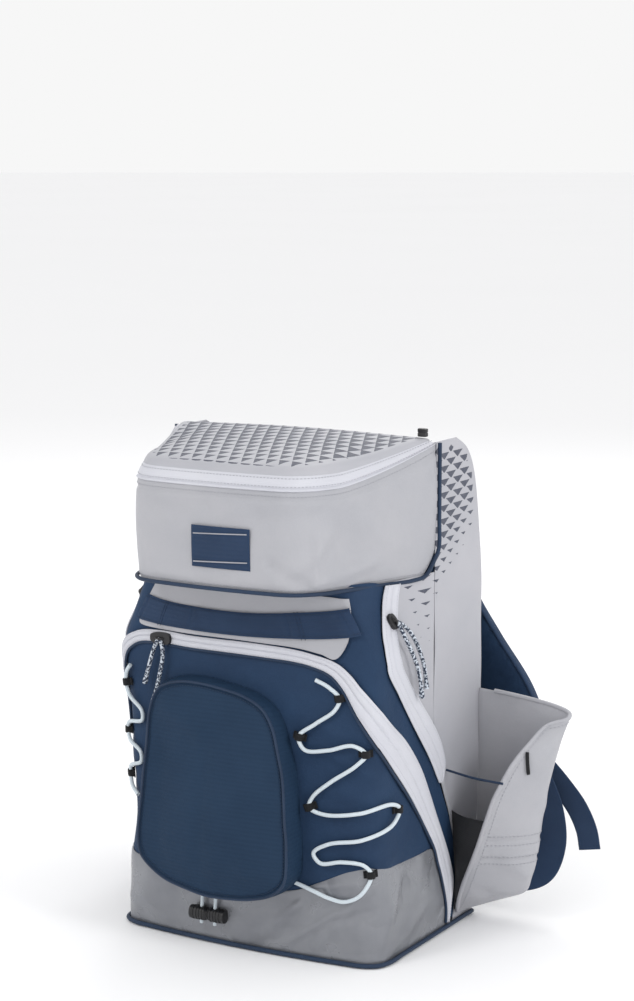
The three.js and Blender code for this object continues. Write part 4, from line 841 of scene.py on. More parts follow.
# Creases: start, end, half width and height in millimetres of the cloth laid flat
pocketCreases = [((96, 214), (150, 188), 6, 1.5), ((92, 176), (146, 168), 7, 1.3),
                 ((84, 242), (112, 226), 6, 1.2), ((120, 118), (172, 104), 8, 1.4),
                 ((96, 128), (150, 140), 8, 1.2), ((172, 160), (214, 118), 9, 1.3)]
baseCreases = [((20, 16), (72, 60), 5, 3.0), ((46, 12), (112, 56), 4, 3.2), ((84, 14), (142, 84), 4.5, 3.0),
               ((70, 74), (128, 86), 4, 2.0), ((100, 44), (146, 58), 4, -2.4), ((56, 40), (96, 78), 4, -2.0),
               ((150, 20), (180, 84), 7, 2.0), ((170, 12), (226, 40), 6, 1.6),
               ((-130, 16), (-110, 66), 9, 1.6), ((-146, 30), (-120, 20), 6, 1.2)]
frontPocket = {"hemLow": 0.25, "tuck": 0.3, "cornerPull": 0.97, "lift": 0.3, "pucker": 1.1, "puckerReach": 9}
frontPanel = {"tuck": 0.7, "sideReach": 0.018, "topReach": 0.022, "sideLow": 0.43, "sideHigh": 0.93,
              "topFrom": 0.97, "calmFrom": 0.96}
baseLift = 0.9
baseOverlap = 0.0012


def pocketHeight(around, up):
    # Soft waves, less a round pucker at every lace loop, plus the creases
    height = waves(skinBase(around, up), 11, 90, 0.8)
    x, y = flatPlace(around, up)
    for lace in laceSides:
        for row in lace["loops"]:
            loopX, loopY = flatPlace(*lace["rows"][row])
            distance = np.hypot(x - loopX, y - loopY)
            height = height - frontPocket["pucker"] * np.exp(-(distance / frontPocket["puckerReach"]) ** 2)
    return creased(height, x, y, pocketCreases)


def makeFrontPocket():
    # From the hem up to under the zip tape, drawn in a little at the bag's front corners
    hemmed = zipRibs[zipRibs[:, 1] >= frontPocket["hemLow"]]
    pull = np.where(np.abs(hemmed[:, 0]) < 1, frontPocket["cornerPull"], 1)
    hemAround = hemmed[:, 0] * pull
    hem = np.stack([hemAround, hemUp(hemAround)], -1)
    a, u = betweenCurves(hem, mix(hemmed[:, 0:2], hemmed[:, 2:4], frontPocket["tuck"]), 230, 96)
    height = pocketHeight(a, u) + frontPocket["lift"]
    clothPiece("pocket_cloth", skinPoint(a, u, height), skinPoint(a, u, height - clothWall), "navy",
               ["front_pocket"])


def makePocketBase():
    # From the floor up to the hem, with sharper creases that fade at both edges
    floorRows = np.stack([hemRows[:, 0], np.full(len(hemRows), floorUp)], -1)
    a, u = betweenCurves(floorRows, hemRows + [0, baseOverlap], 230, 30)
    x, y = flatPlace(a, u)
    height = creased(waves(skinBase(a, u), 23, 60, 1.0), x, y, baseCreases)
    edge = np.clip(np.minimum(u - floorUp, hemUp(a) - u) / 0.02, 0, 1)
    height = height * edge + baseLift
    clothPiece("pocket_base_cloth", skinPoint(a, u, height), skinPoint(a, u, height - clothWall), "silver",
               ["front_pocket_base"])


def makeFrontPanel():
    # From under the front zip tape to the panel's own end, which runs on under the main zip and the lid
    low = mix(zipRibs[:, 0:2], zipRibs[:, 2:4], frontPanel["tuck"])
    high = zipRibs[:, 4:6].copy()
    besideZip = (high[:, 1] > frontPanel["sideLow"]) & (high[:, 1] < frontPanel["sideHigh"])
    reach = np.where(besideZip, frontPanel["sideReach"], 0)
    high[:, 0] += np.sign(high[:, 0]) * reach * 0.6
    high[:, 1] += reach * 0.3 + frontPanel["topReach"] * (high[:, 1] > frontPanel["topFrom"])
    a, u = betweenCurves(low, high, 260, 36)
    height = waves(skinBase(a, u), 5, 110, 0.8) * np.clip((frontPanel["calmFrom"] - u) / 0.05, 0, 1)
    clothPiece("front_cloth", skinPoint(a, u, height), skinPoint(a, u, height - clothWall), "navy",
               ["front_panel"])


zipSetup = {"columns": 14, "crown": 1.1, "groove": 1.3, "grooveWidth": 0.05, "stitchLift": 0.08,
            "pipingAside": 0.09, "pipingLift": 2.4, "pipingRadius": 1.5}


def zipBand(name, inner, outer, uSteps, nodes):
    # A tape with a soft crown, a groove along its middle for the coil, and two rows of stitches
    columns = zipSetup["columns"]
    a, u = betweenCurves(inner, outer, uSteps, columns)
    v = np.linspace(0, 1, columns + 1)[None]
    groove = zipSetup["groove"] * np.exp(-((v - 0.5) / zipSetup["grooveWidth"]) ** 2)
    height = tapeLift + zipSetup["crown"] * (1 - (2 * v - 1) ** 4) - groove
    back = np.full(a.shape, tapeLift - clothWall)
    clothPiece(name, skinPoint(a, u, height), skinPoint(a, u, back), "tape", nodes)
    thread = skinPoint(a, u, height + zipSetup["stitchLift"])
    normal = skinNormal(a, u)
    return [(thread[:, column], normal[:, column]) for column in (2, columns - 2)]


def makeZips():
    # The front zip and the two main zips, whose stitches are one piece
    lines = zipBand("front_zip_tape", zipRibs[:, 0:2], zipRibs[:, 2:4], 300, ["front_pocket_zip"])
    for side, rows in (("right", mainZipRows), ("left", mirroredRows(mainZipRows, [0, 2]))):
        lines += zipBand(f"main_zip_tape_{side}", rows[:, 0:2], rows[:, 2:4], 90, [f"main_zip_{side}"])
    stitchPiece("zip_stitches", lines, "stitchTape", pitch=3.0, length=2.0, radius=0.28)


def makeZipPiping():
    # Navy piping along the pocket's side of the front zip, just off the tape's inner edge
    share = np.linspace(0, 1, 420)
    inner = splineAt(zipRibs[:, 0:2], share)
    outer = splineAt(zipRibs[:, 2:4], share)
    place = inner - zipSetup["pipingAside"] * (outer - inner)
    path = skinPoint(place[:, 0], place[:, 1], np.full(len(place), zipSetup["pipingLift"]))
    sweepPiece("front_zip_piping", path, skinNormal(place[:, 0], place[:, 1]),
               roundProfile(zipSetup["pipingRadius"], 10), "piping")


sideRows = np.array([  # front edge around, front edge up, rear edge up
    (1.528, 0.585, 0.59), (1.36, 0.675, 0.68), (1.215, 0.755, 0.76), (1.16, 0.805, 0.82),
    (1.19, 0.855, 0.88), (1.28, 0.925, 0.96), (1.36, 0.997, 1.0)])
batRows = np.array([  # front edge around, up
    (1.785, floorUp), (1.812, 0.07), (1.837, 0.135), (1.805, 0.215), (1.735, 0.32), (1.65, 0.415),
    (1.63, 0.47), (1.59, 0.53), (1.559, 0.6), (1.559, 0.8), (1.559, 1), (1.559, 1.15), (1.559, 1.25),
    (1.559, 1.31), (1.559, body["bagHeight"] / body["wallHeight"])])
seamAround = aroundAtY(body["dividerY"] + 0.8)
seamShareGap = 0.002
batPrint = {"low": 346, "seamY": 9, "slope": 0.7, "fade": 56, "least": 0.24, "most": 1.08, "margin": 7,
            "marginFade": 3, "top": 494}


def sideMap(around, up):
    # The side's own flat map in millimetres: depth times around, wall height times up
    return np.stack([around * body["depth"], up * body["wallHeight"]], -1)


def sidePanelPrint(around, up):
    # Triangle size: it grows with height and towards the rear seam
    return 0.7 * np.clip((up - 0.8) / 0.16, 0, 1) * np.clip((np.abs(around) - 1.36) / 0.12, 0, 1)


def batSidePrint(around, up):
    # Triangle size: it grows above a line that slants up to the rear, and ends short of the open edges
    y = (np.abs(around) - 1) * body["depth"] - body["frontReach"]
    z = up * body["wallHeight"]
    above = z - batPrint["low"] - (y - batPrint["seamY"]) * batPrint["slope"]
    size = batPrint["most"] * np.clip(above / batPrint["fade"] + batPrint["least"], 0, 1) * (above > 0)
    fromRear = np.clip((rearY(z) - y - batPrint["margin"]) / batPrint["marginFade"], 0, 1)
    return size * fromRear * np.clip((batPrint["top"] - z) / batPrint["marginFade"], 0, 1)


def makeSides():
    # Each side has two sheets of the skin that meet at the seam beside the divider
    for name, side in (("right", 1), ("left", -1)):
        front = np.stack([side * sideRows[:, 0], sideRows[:, 1]], -1)
        rear = np.stack([np.full(len(sideRows), side * (seamAround - seamShareGap)), sideRows[:, 2]], -1)
        a, u = betweenCurves(front, rear, 60, 40)
        clothPiece(f"side_cloth_{name}", skinPoint(a, u, 0 * a), skinPoint(a, u, 0 * a - clothWall),
                   "sidePrint", [f"side_panel_{name}"], uv=sideMap(a, u),
                   printSize=sidePanelPrint(a, u))

        front = np.stack([side * batRows[:, 0], batRows[:, 1]], -1)
        rearAround = aroundAtY(rearY(batRows[:, 1] * body["wallHeight"]))
        rear = np.stack([side * rearAround, batRows[:, 1]], -1)
        a, u = betweenCurves(front, rear, 150, 40)
        height = waves(skinBase(a, u), 31 + side, 120, 0.7)
        clothPiece(f"bat_cloth_{name}", skinPoint(a, u, height), skinPoint(a, u, height - clothWall),
                   "sidePrint", [f"bat_side_{name}"], uv=sideMap(a, u),
                   printSize=batSidePrint(a, u))


makeFrontPocket()
makePocketBase()
makeFrontPanel()
makeZips()
makeZipPiping()
makeSides()
print("body panels and zips made")


# The lid
lid = {"halfFront": 95, "halfRear": 150, "reach": 158, "rear": 7, "bulge": 7, "bottom": 370, "seam": 470,
       "rim": 485, "cornerCut": 28, "rimInset": 7, "end": 1.985, "sideLength": 174, "belly": 3,
       "riseFrom": 1.25, "rearRise": 5, "pipingRadius": 2.0}
lidCreases = [((66, 384), (132, 430), 9, 3.4), ((96, 380), (190, 394), 8, 3.0),
              ((40, 440), (120, 446), 11, -2.6), ((150, 392), (150, 452), 14, -3.0),
              ((-70, 384), (-20, 378), 9, 2.0), ((60, 400), (96, 376), 7, -2.6),
              ((-88, 400), (-60, 452), 12, -2.2), ((108, 430), (104, 380), 8, 2.6),
              ((160, 440), (230, 400), 12, 2.2), ((0, 452), (-50, 440), 10, -1.6)]
forwards = np.array([0, -1, 0])


def lidPlan(around, inset):
    # Plan point by side shares: front edge, rounded corner, slanting side; inset moves it to the middle
    around, inset = np.broadcast_arrays(np.asarray(around, float), np.asarray(inset, float))
    side = np.where(around < 0, -1.0, 1.0)
    a = np.abs(around)
    corner = np.array([lid["halfFront"], -lid["reach"]], float)
    rear = np.array([lid["halfRear"], lid["rear"]], float)
    frontCut = lid["cornerCut"] / lid["halfFront"]
    sideCut = lid["cornerCut"] / np.linalg.norm(rear - corner)
    start = np.array([(1 - frontCut) * lid["halfFront"], -lid["reach"]])
    end = mix(corner, rear, sideCut)
    t = np.clip((a - 1 + frontCut) / (frontCut + sideCut), 0, 1)[..., None]
    curve = start * (1 - t) ** 2 + corner * 2 * t * (1 - t) + end * t * t
    flat = np.stack([a * lid["halfFront"], np.full(a.shape, -lid["reach"], float)], -1)
    slant = mix(corner, rear, (a - 1)[..., None])
    beyond = np.where((a > 1 + sideCut)[..., None], slant, curve)
    point = np.where((a < 1 - frontCut)[..., None], flat, beyond)
    point[..., 1] -= np.where(a < 1, lid["bulge"] * (1 - a * a), 0)
    centre = np.array([0, lid["rear"]], float)
    reach = np.linalg.norm(point - centre, axis=-1)
    point = mix(point, centre, (inset / reach)[..., None])
    point[..., 0] *= side
    return point


def lidBottomZ(around):
    # The lid's lower edge: it drops a little along the side and turns up at the rear
    late = np.clip((np.abs(around) - 1.85) / 0.15, 0, 1)
    return lid["bottom"] - 3 * np.clip(np.abs(around) - 1, 0, 0.85) + 28 * late * late


def lidRise(around):
    # From 0 where the lid starts to rise to 1 at its rear end
    return np.clip((np.abs(around) - lid["riseFrom"]) / (2 - lid["riseFrom"]), 0, 1)


def lidSeamZ(around):
    # The seam below the zip, which rises to the bag's full height at the rear
    rise = lidRise(around)
    return lid["seam"] + (body["bagHeight"] - lid["seam"] + 2) * rise ** 1.4


def lidRimZ(around):
    # The rim above the zip, which rises the same way
    return mix(lid["rim"], body["bagHeight"] + lid["rearRise"], lidRise(around) ** 1.3)


def lidGrid(around, v, low, high, inset):
    # The plan's points raised from the low to the high edge by the share v
    point = lidPlan(around, inset)
    return np.concatenate([point, mix(low, high, v)[..., None]], -1)


def lidWall(low, high, inset, uSteps, vSteps):
    # A band of the lid's wall between two heights, with its shares and outward normals
    u = np.linspace(-lid["end"], lid["end"], uSteps + 1)[:, None]
    v = np.linspace(0, 1, vSteps + 1)[None]
    a = u + 0 * v
    grid = lidGrid(a, v, low(a), high(a), inset(v))
    normal = gridNormals(grid)
    normal = normal * np.sign(normal[uSteps // 2, vSteps // 2] @ forwards)
    return a, v, grid, normal


def ridge(v, place, width, height):
    # A bead or groove along the band: a Gaussian hump across it
    return height * np.exp(-((v - place) / width) ** 2)


def lidBelly(share):
    # The wall swells outwards in a half sine wave between its two edges
    return -lid["belly"] * np.sin(np.pi * share)


def makeLidFront():
    # Belly, waves and creases, with a seam groove near the top and the hem's groove at the bottom
    a, v, grid, normal = lidWall(lidBottomZ, lambda a: lidSeamZ(a) - 0.35, lidBelly, 240, 60)
    side = np.sign(a) * (lid["halfFront"] + (np.abs(a) - 1) * lid["sideLength"])
    x, z = np.where(np.abs(a) < 1, a * lid["halfFront"], side), grid[..., 2]
    height = creased(waves(grid, 41, 130, 1.3), x, z, lidCreases)
    quiet = np.clip(v / 0.1, 0, 1) * np.clip((1 - v) / 0.14, 0, 1)
    height = height * quiet - ridge(v, 0.9, 0.022, 1.1) - ridge(v, 0, 0.03, 1.0)
    outer = grid + normal * height[..., None]
    clothPiece("lid_cloth", outer, outer - normal * clothWall, "light", ["lid_front"])
    return [(outer[:, column] + normal[:, column] * 0.3, normal[:, column]) for column in (56, 3)]


def makeLidZip():
    # The tape leans in towards the rim, with beads at both edges and a groove above the lower one
    a, v, grid, normal = lidWall(lambda a: lidSeamZ(a) - 2.2, lambda a: lidRimZ(a) - clothWall - 0.7,
                                 lambda v: lid["rimInset"] * v * v, 240, 20)
    height = 0.6 * np.sin(np.pi * v) + ridge(v, 0.06, 0.05, 1.1) - ridge(v, 0.2, 0.04, 0.7)
    height = height + ridge(v, 0.92, 0.05, 0.9) + ridge(v, 0, 0.12, 0.9) + 0 * a
    outer = grid + normal * height[..., None]
    clothPiece("lid_zip_tape", outer, grid - normal * clothWall, "tape", ["lid_zip"])
    return [(outer[:, column] + normal[:, column] * 0.25, normal[:, column]) for column in (6, 16)]


lidTop = {"sideShort": 0.03, "tuck": 2, "rearInset": 8, "swell": 4, "roll": 9, "rollReach": 5, "drop": 5,
          "frontMargin": 9, "sideMargin": 19, "printLeast": 0.8, "printGrowth": 0.0028, "printMost": 1.08}


def makeLidTop():
    # Lines from the rim to the rear edge; the cloth rolls up from the rim's seam and swells in the middle
    end = lid["end"] - lidTop["sideShort"]
    u = np.linspace(0, 1, 181)[:, None]
    v = (np.linspace(0, 1, 121) ** 1.6)[None]
    a = mix(-end, end, u) + 0 * v
    rim = lidPlan(a, lid["rimInset"] - lidTop["tuck"])
    rearX = (2 * u - 1) * (lid["halfRear"] - lidTop["rearInset"]) + 0 * v
    px, py = mix(rim[..., 0], rearX, v), mix(rim[..., 1], lid["rear"], v)
    inset = np.hypot(px - rim[..., 0], py - rim[..., 1])
    pz = mix(lidRimZ(a), body["bagHeight"] + lid["rearRise"], v ** 0.9)
    pz = pz + lidTop["swell"] * np.sin(np.pi * u) * np.sin(np.pi * v * 0.7)
    rolled = lidTop["roll"] * (1 - np.exp(-inset / lidTop["rollReach"])) * (1 - 0.6 * v)
    grid = np.stack([px, py, pz + rolled - lidTop["drop"]], -1)
    height = waves(grid, 47, 90, 0.8) * np.clip(v / 0.08, 0, 1) * np.clip((1 - v) / 0.1, 0, 1)
    normal = gridNormals(grid)
    normal = normal * np.sign(normal[90, 60, 2])
    outer = grid + normal * height[..., None]
    margin = mix(lidTop["frontMargin"], lidTop["sideMargin"], np.clip((np.abs(a) - 0.8) / 0.3, 0, 1))
    grown = lidTop["printLeast"] + lidTop["printGrowth"] * (py + lid["reach"])
    size = (inset > margin) * np.clip(grown, 0, lidTop["printMost"])
    clothPiece("lid_top_cloth", outer, outer - normal * clothWall, "topPrint", ["lid_top"],
               uv=np.stack([px, py], -1), printSize=size)


lidFloor = {"end": 1.25, "gap": 3.0, "lift": 2.2, "up": 0.985, "aroundShare": 0.93}


def makeLidFloor():
    # A flat frame between the lid's plan and the bag's neck, round the way down
    u = np.linspace(-lidFloor["end"], lidFloor["end"], 101)[:, None]
    v = np.linspace(0, 1, 13)[None]
    a = u + 0 * v
    outside = lidPlan(a, clothWall + lidFloor["gap"])
    inside = skinPoint(a * lidFloor["aroundShare"], lidFloor["up"] + 0 * a, -1 + 0 * a)[..., :2]
    level = np.full((*a.shape, 1), lid["bottom"] + lidFloor["lift"])
    grid = np.concatenate([mix(outside, inside, v[..., None]), level], -1)
    clothPiece("lid_floor_cloth", grid, grid - [0, 0, clothWall], "light", ["lid_floor"])


def makeLidPiping():
    # Along the lid's lower edge from one rear corner to the other, and up the rear seam at both ends
    corners = np.concatenate([[-2, -1.97, -1.9, -1.8], np.linspace(-1.65, 1.65, 27), [1.8, 1.9, 1.97, 2]])
    plan = lidPlan(corners, -(lid["pipingRadius"] + 0.7))
    low = np.concatenate([plan, (lidBottomZ(corners) + 1)[:, None]], -1)
    endX = lid["halfRear"] + lid["pipingRadius"] + 0.4
    rise = np.array([[endX, lid["rear"] + 1.2, z] for z in (425, 460, body["bagHeight"])])
    path = throughPoints(np.concatenate([rise[::-1] * [-1, 1, 1], low, rise]), 420)
    outward = unit(np.stack([path[:, 0], path[:, 1] - 40, 0 * path[:, 0]], -1) + [0, 0, 1e-3])
    sweepPiece("lid_bottom_piping", path, outward, roundProfile(lid["pipingRadius"], 14), "piping",
               ["lid_piping"])


lidLines = makeLidFront() + makeLidZip()
makeLidTop()
stitchPiece("lid_stitches", lidLines, "stitchLight", pitch=3.6, length=2.2, radius=0.3)
makeLidFloor()
makeLidPiping()
print("lid made")


# Patch, yoke and front strap
yokeRows = np.array([  # lower edge and upper edge, each as around and up
    (-0.87, 0.86, -0.88, 0.975), (-0.8, 0.842, -0.8, 0.975), (-0.4, 0.836, -0.4, 0.975),
    (0, 0.836, 0, 0.975), (0.4, 0.833, 0.45, 0.975), (0.6, 0.824, 0.74, 0.975), (0.71, 0.815, 0.9, 0.975),
    (0.84, 0.86, 1.06, 0.972)])
strapRows = np.array([  # lower edge and upper edge, each as around and up
    (-0.88, 0.86, -0.88, 0.93), (-0.6, 0.85, -0.6, 0.915), (0, 0.848, 0, 0.91), (0.6, 0.862, 0.6, 0.93),
    (0.96, 0.88, 1.0, 0.95)])
yokeSetup = {"lift": 0.4, "wall": 1.6}
frontStrap = {"lift": 2.2, "wall": 1.8, "ripple": 0.7, "ripplePitch": 34, "bars": (-62, 62, -128, 136),
              "barDepth": 0.8, "barWidth": 1.6}
patchSetup = {"left": -21, "right": 43, "low": 391, "high": 431, "lift": 1.5, "edge": 1.2,
              "stripes": (397, 424), "stripeWidth": 1.1, "stripeShare": 0.92, "stripeSlant": 0.05}


def makeYoke():
    # A light panel over the front panel, with soft waves
    a, u = betweenCurves(yokeRows[:, 0:2], yokeRows[:, 2:4], 120, 24)
    height = clothWall + yokeSetup["lift"] + waves(skinBase(a, u), 61, 70, 0.5)
    clothPiece("yoke_cloth", skinPoint(a, u, height), skinPoint(a, u, height - yokeSetup["wall"]), "light",
               ["yoke_panel"])


def makeFrontStrap():
    # A band over the yoke that ripples between its sewn bars, where it is drawn in
    a, u = betweenCurves(strapRows[:, 0:2], strapRows[:, 2:4], 140, 12)
    x = a * body["halfWidth"]
    drawn = sum(np.exp(-((x - place) / frontStrap["barWidth"]) ** 2) for place in frontStrap["bars"])
    ripple = frontStrap["ripple"] * np.sin(x / frontStrap["ripplePitch"]) ** 2
    height = clothWall + yokeSetup["lift"] + frontStrap["lift"] + ripple - frontStrap["barDepth"] * drawn
    clothPiece("front_webbing", skinPoint(a, u, height), skinPoint(a, u, height - frontStrap["wall"]),
               "webbing", ["front_strap"])
    outer, normal = skinPoint(a, u, height + 0.3), skinNormal(a, u)
    lines = [(outer[:, 1], normal[:, 1]), (outer[:, 11], normal[:, 11])]
    lines += [(outer[row], normal[row]) for row in (28, 30, 98, 100)]
    stitchPiece("strap_stitches", lines, "stitchNavy", pitch=3.0)


def makePatch():
    # A woven rectangle that follows the lid's belly, with two plain stripes and a folded edge
    steps = 40
    x = np.linspace(patchSetup["left"], patchSetup["right"], steps + 1)[:, None]
    z = np.linspace(patchSetup["low"], patchSetup["high"], steps + 1)[None]
    a = x / lid["halfFront"] + 0 * z
    plan = lidPlan(a, lidBelly((z - lidBottomZ(a)) / (lidSeamZ(a) - lidBottomZ(a))))
    grid = np.stack([x + 0 * z, plan[..., 1], z + 0 * x], -1)
    edge = np.minimum(np.minimum(x - x.min(), x.max() - x), np.minimum(z - z.min(), z.max() - z))
    folded = 0.5 * np.clip(edge / patchSetup["edge"], 0, 1)
    lift = patchSetup["lift"] + folded - 0.25 * np.clip((edge - patchSetup["edge"]) / 1.5, 0, 1)
    outer = grid + forwards * lift[..., None]
    clothPiece("patch_cloth", outer, grid - [0, 0.4, 0], "webbing", ["patch"])
    stripes = []
    middle = x.mean()
    inside = middle + (x - middle) * patchSetup["stripeShare"]
    rowY = np.interp(inside, x[:, 0], plan[:, steps // 2, 1])
    for low in patchSetup["stripes"]:
        slant = (inside - middle) * patchSetup["stripeSlant"]
        z = low + np.array([0, patchSetup["stripeWidth"]])[None] + slant
        bar = np.stack([inside + 0 * z, rowY + 0 * z, z], -1)
        stripes.append(joinedGrids(bar + forwards * 2.3, bar + forwards * 1.2))
    joinedPiece("patch_stripes", stripes, "stitchLight")


makeYoke()
makeFrontStrap()
makePatch()
print("yoke and patch made")


# The raised front pouch: a closed outline, a flat face and steep sides drawn in at the seam
pouchOutline = np.array([  # x and z in millimetres, round from the top left
    (-66, 269), (-44, 271), (-10, 268), (20, 262), (40, 252), (52, 236), (60, 214), (66, 192), (69, 172),
    (71, 144), (73, 126), (73, 104), (69, 84), (54, 69), (29, 60), (0, 56), (-23, 55), (-46, 59), (-77, 68),
    (-102, 88), (-107, 106), (-103, 160), (-100, 200), (-97, 238), (-86, 261)], float)
pouchSetup = {"centre": (-14.0, 160.0), "steps": 220, "wall": 1.8, "lift": 2.4, "least": 0.6, "face": 0.955,
              "crown": 4, "pipingAt": 0.958, "pipingRadius": 1.3, "stitchesAt": 0.92}
pouchDepth = np.array([(55, 24), (90, 28), (170, 25), (265, 14)])  # height, depth of the sides there
pouchCreases = [((-86, 244), (-20, 218), 12, 3.0), ((-78, 90), (-80, 210), 10, -2.2),
                ((-26, 80), (-22, 205), 9, -1.6), ((20, 90), (70, 120), 12, 1.6)]


def closedOutline(points, steps):
    # A closed smooth line: the points are laid round three times and the middle round is kept
    flat = np.concatenate([points, np.zeros((len(points), 1))], -1)
    tripled = np.concatenate([flat, flat, flat])
    dense = throughPoints(tripled, steps * 3)
    return dense[steps:2 * steps, :2]


def pouchHeight(x, z, r):
    # Depth falls from the face's edge to the seam; a bead stands on that edge and a groove inside it
    wallShare = np.clip((r - pouchSetup["face"]) / (1 - pouchSetup["face"]), 0, 1)
    rise = (1 - wallShare ** 2.2) ** 0.75
    depth = np.interp(z, pouchDepth[:, 0], pouchDepth[:, 1])
    height = pouchSetup["lift"] + depth * rise + pouchSetup["crown"] * (1 - r ** 2) * (1 - wallShare)
    height = height + ridge(r, pouchSetup["face"], 0.01, 0.8) - ridge(r, 0.93, 0.012, 1.3)
    soft = creased(waves(np.stack([x, 0 * x, z], -1), 71, 95, 1.2), x, z, pouchCreases)
    return height + soft * (1 - wallShare)


def makePouch():
    # Rings from near the centre out to the outline, outside and inside, with a point at each pole
    steps, wall = pouchSetup["steps"], pouchSetup["wall"]
    outline = closedOutline(pouchOutline, steps)
    centre = np.array(pouchSetup["centre"])
    r = np.concatenate([np.linspace(0.02, 0.9, 36), np.linspace(0.905, 1, 30)])[None]
    rings = r.shape[1]
    plan = centre + (outline[:, None] - centre) * r[..., None]
    x, z = plan[..., 0], plan[..., 1]
    height = pouchHeight(x, z, r)
    outer = skinPoint(*sharesAt(x, z), height)
    inner = skinPoint(*sharesAt(x, z), np.maximum(height - wall, pouchSetup["least"]))
    count = steps * rings
    middle = height[:, 0].mean()
    pole = skinPoint(*sharesAt(centre[:1], centre[1:]), middle[None])
    innerPole = skinPoint(*sharesAt(centre[:1], centre[1:]), (middle - wall)[None])
    points = np.concatenate([outer.reshape(-1, 3), inner.reshape(-1, 3), pole, innerPole])
    quads = gridQuads(steps, rings, closeRows=True)
    k = np.arange(steps)
    k2 = (k + 1) % steps
    last, last2 = k * rings + rings - 1, k2 * rings + rings - 1
    rim = np.stack([last, last2, count + last2, count + last], -1)
    face = np.stack([k * rings, k2 * rings, np.full(steps, 2 * count)], -1)[:, ::-1]
    back = np.stack([count + k * rings, count + k2 * rings, np.full(steps, 2 * count + 1)], -1)
    flat = np.stack([x, z], -1).reshape(-1, 2)
    meshPiece("pouch_cloth", points, np.concatenate([quads, quads[:, ::-1] + count, rim[:, ::-1]]), "ribbed",
              ["sub_pocket"], np.concatenate([flat, flat, [centre], [centre]]),
              tris=np.concatenate([face, back]))

    # Piping round the face, and stitches inside it
    ring = np.argmin(np.abs(r[0] - pouchSetup["pipingAt"]))
    closed = np.concatenate([outer[:, ring], outer[:1, ring]])
    normal = skinNormal(*sharesAt(closed[:, 0], closed[:, 2]))
    sweepPiece("pouch_piping", closed, normal, roundProfile(pouchSetup["pipingRadius"], 10), "piping")
    ring = np.argmin(np.abs(r[0] - pouchSetup["stitchesAt"]))
    closed = np.concatenate([outer[:, ring], outer[:1, ring]])
    stitchPiece("pouch_stitches", [(closed + normal * 0.2, normal)], "stitchNavy", pitch=3.2)


makePouch()
print("pouch made")


# Lacing: one cord a side, held by small webbing loops, and a barrel lock at the lower end
laceSetup = {"radius": 2.0, "centre": 4.8, "loopWidth": 7.4, "loopWall": 1.6, "clear": 2.5, "footLift": 0.3,
             "loopTall": 4.4, "steps": {"right": 520, "left": 200}}
lockSetup = {"radius": 6.8, "ridge": 0.4, "ridgePitch": 1.9, "ridgeEnd": 0.42, "bevel": 1.2, "waist": 1.6,
             "waistWidth": 2.2, "flat": 0.12, "raise": 2, "cordRadius": 1.8, "cordLow": 10.5, "cordHigh": 24,
             "cordLift": 6.0, "cordLean": 0.12}


def arch(place, tangent, normal, width, wall, clear, tall):
    # A webbing loop: a strip bent over the cord from foot to foot, as a swept flat profile
    across = unit(np.cross(normal, tangent))
    angle = np.linspace(0, np.pi, 15)
    reach = clear + wall / 2
    side = np.concatenate([[reach * 2.1, reach * 1.2], reach * np.cos(angle), [-reach * 1.2, -reach * 2.1]])
    high = np.concatenate([[0.7, 1.0], tall + reach * 0.75 * np.sin(angle), [1.0, 0.7]])
    path = place + across * side[:, None] + normal * high[:, None]
    profile = strapProfile(width, wall, 16, 4)
    ring = sweepPoints(path, np.broadcast_to(normal, path.shape) * 0.2 + unit(path - place) + 1e-4, profile)
    return closedTube(ring)


def closedTube(ring):
    # Quads of a tube whose ends are closed by drawing their rings to a point
    steps, sides, _ = ring.shape
    first = np.repeat(ring[:1].mean(1, keepdims=True), sides, 1)
    last = np.repeat(ring[-1:].mean(1, keepdims=True), sides, 1)
    ring = np.concatenate([mix(ring[:1], first, 0.98), ring, mix(ring[-1:], last, 0.98)])
    steps += 2
    quads = gridQuads(steps, sides, closeColumns=True)
    return ring.reshape(-1, 3), quads


def aroundAlong(path, rows):
    # The share around at each point of a path that follows the table's rows
    return np.interp(np.linspace(0, 1, len(path)), np.linspace(0, 1, len(rows)), rows[:, 0])


def makeLacing():
    # Each cord lies on the skin by its table, and a webbing loop stands over it at the listed rows
    for lace in laceSides:
        side, rows = lace["side"], lace["rows"]
        lift = laceSetup["centre"] + np.zeros(len(rows))
        path = throughPoints(skinPoint(rows[:, 0], rows[:, 1], lift), laceSetup["steps"][side])
        normal = skinNormal(aroundAlong(path, rows), path[:, 2] / body["wallHeight"])
        sweepPiece(f"lace_{side}", path, normal, roundProfile(laceSetup["radius"], 12), "cord",
                   [f"lacing_cord_{side}"])
        for number, row in enumerate(lace["loops"]):
            place = skinPoint(*rows[row], laceSetup["footLift"])
            face = skinNormal(*rows[row])
            nearest = np.argmin(np.linalg.norm(path - skinPoint(*rows[row], laceSetup["centre"]), axis=1))
            tangent = unit(path[min(nearest + 2, len(path) - 1)] - path[max(nearest - 2, 0)])
            points, quads = arch(place, tangent, face, laceSetup["loopWidth"], laceSetup["loopWall"],
                                 laceSetup["clear"], laceSetup["loopTall"])
            meshPiece(f"lace_webbing_{side}_{number + 1}", points, quads, "blackWebbing",
                      [f"lace_loop_{side}_{number + 1}"])


def boxCentre(node):
    # The middle of a node's box in millimetres
    low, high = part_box(node)
    return (np.array(low) + np.array(high)) / 2 / mm


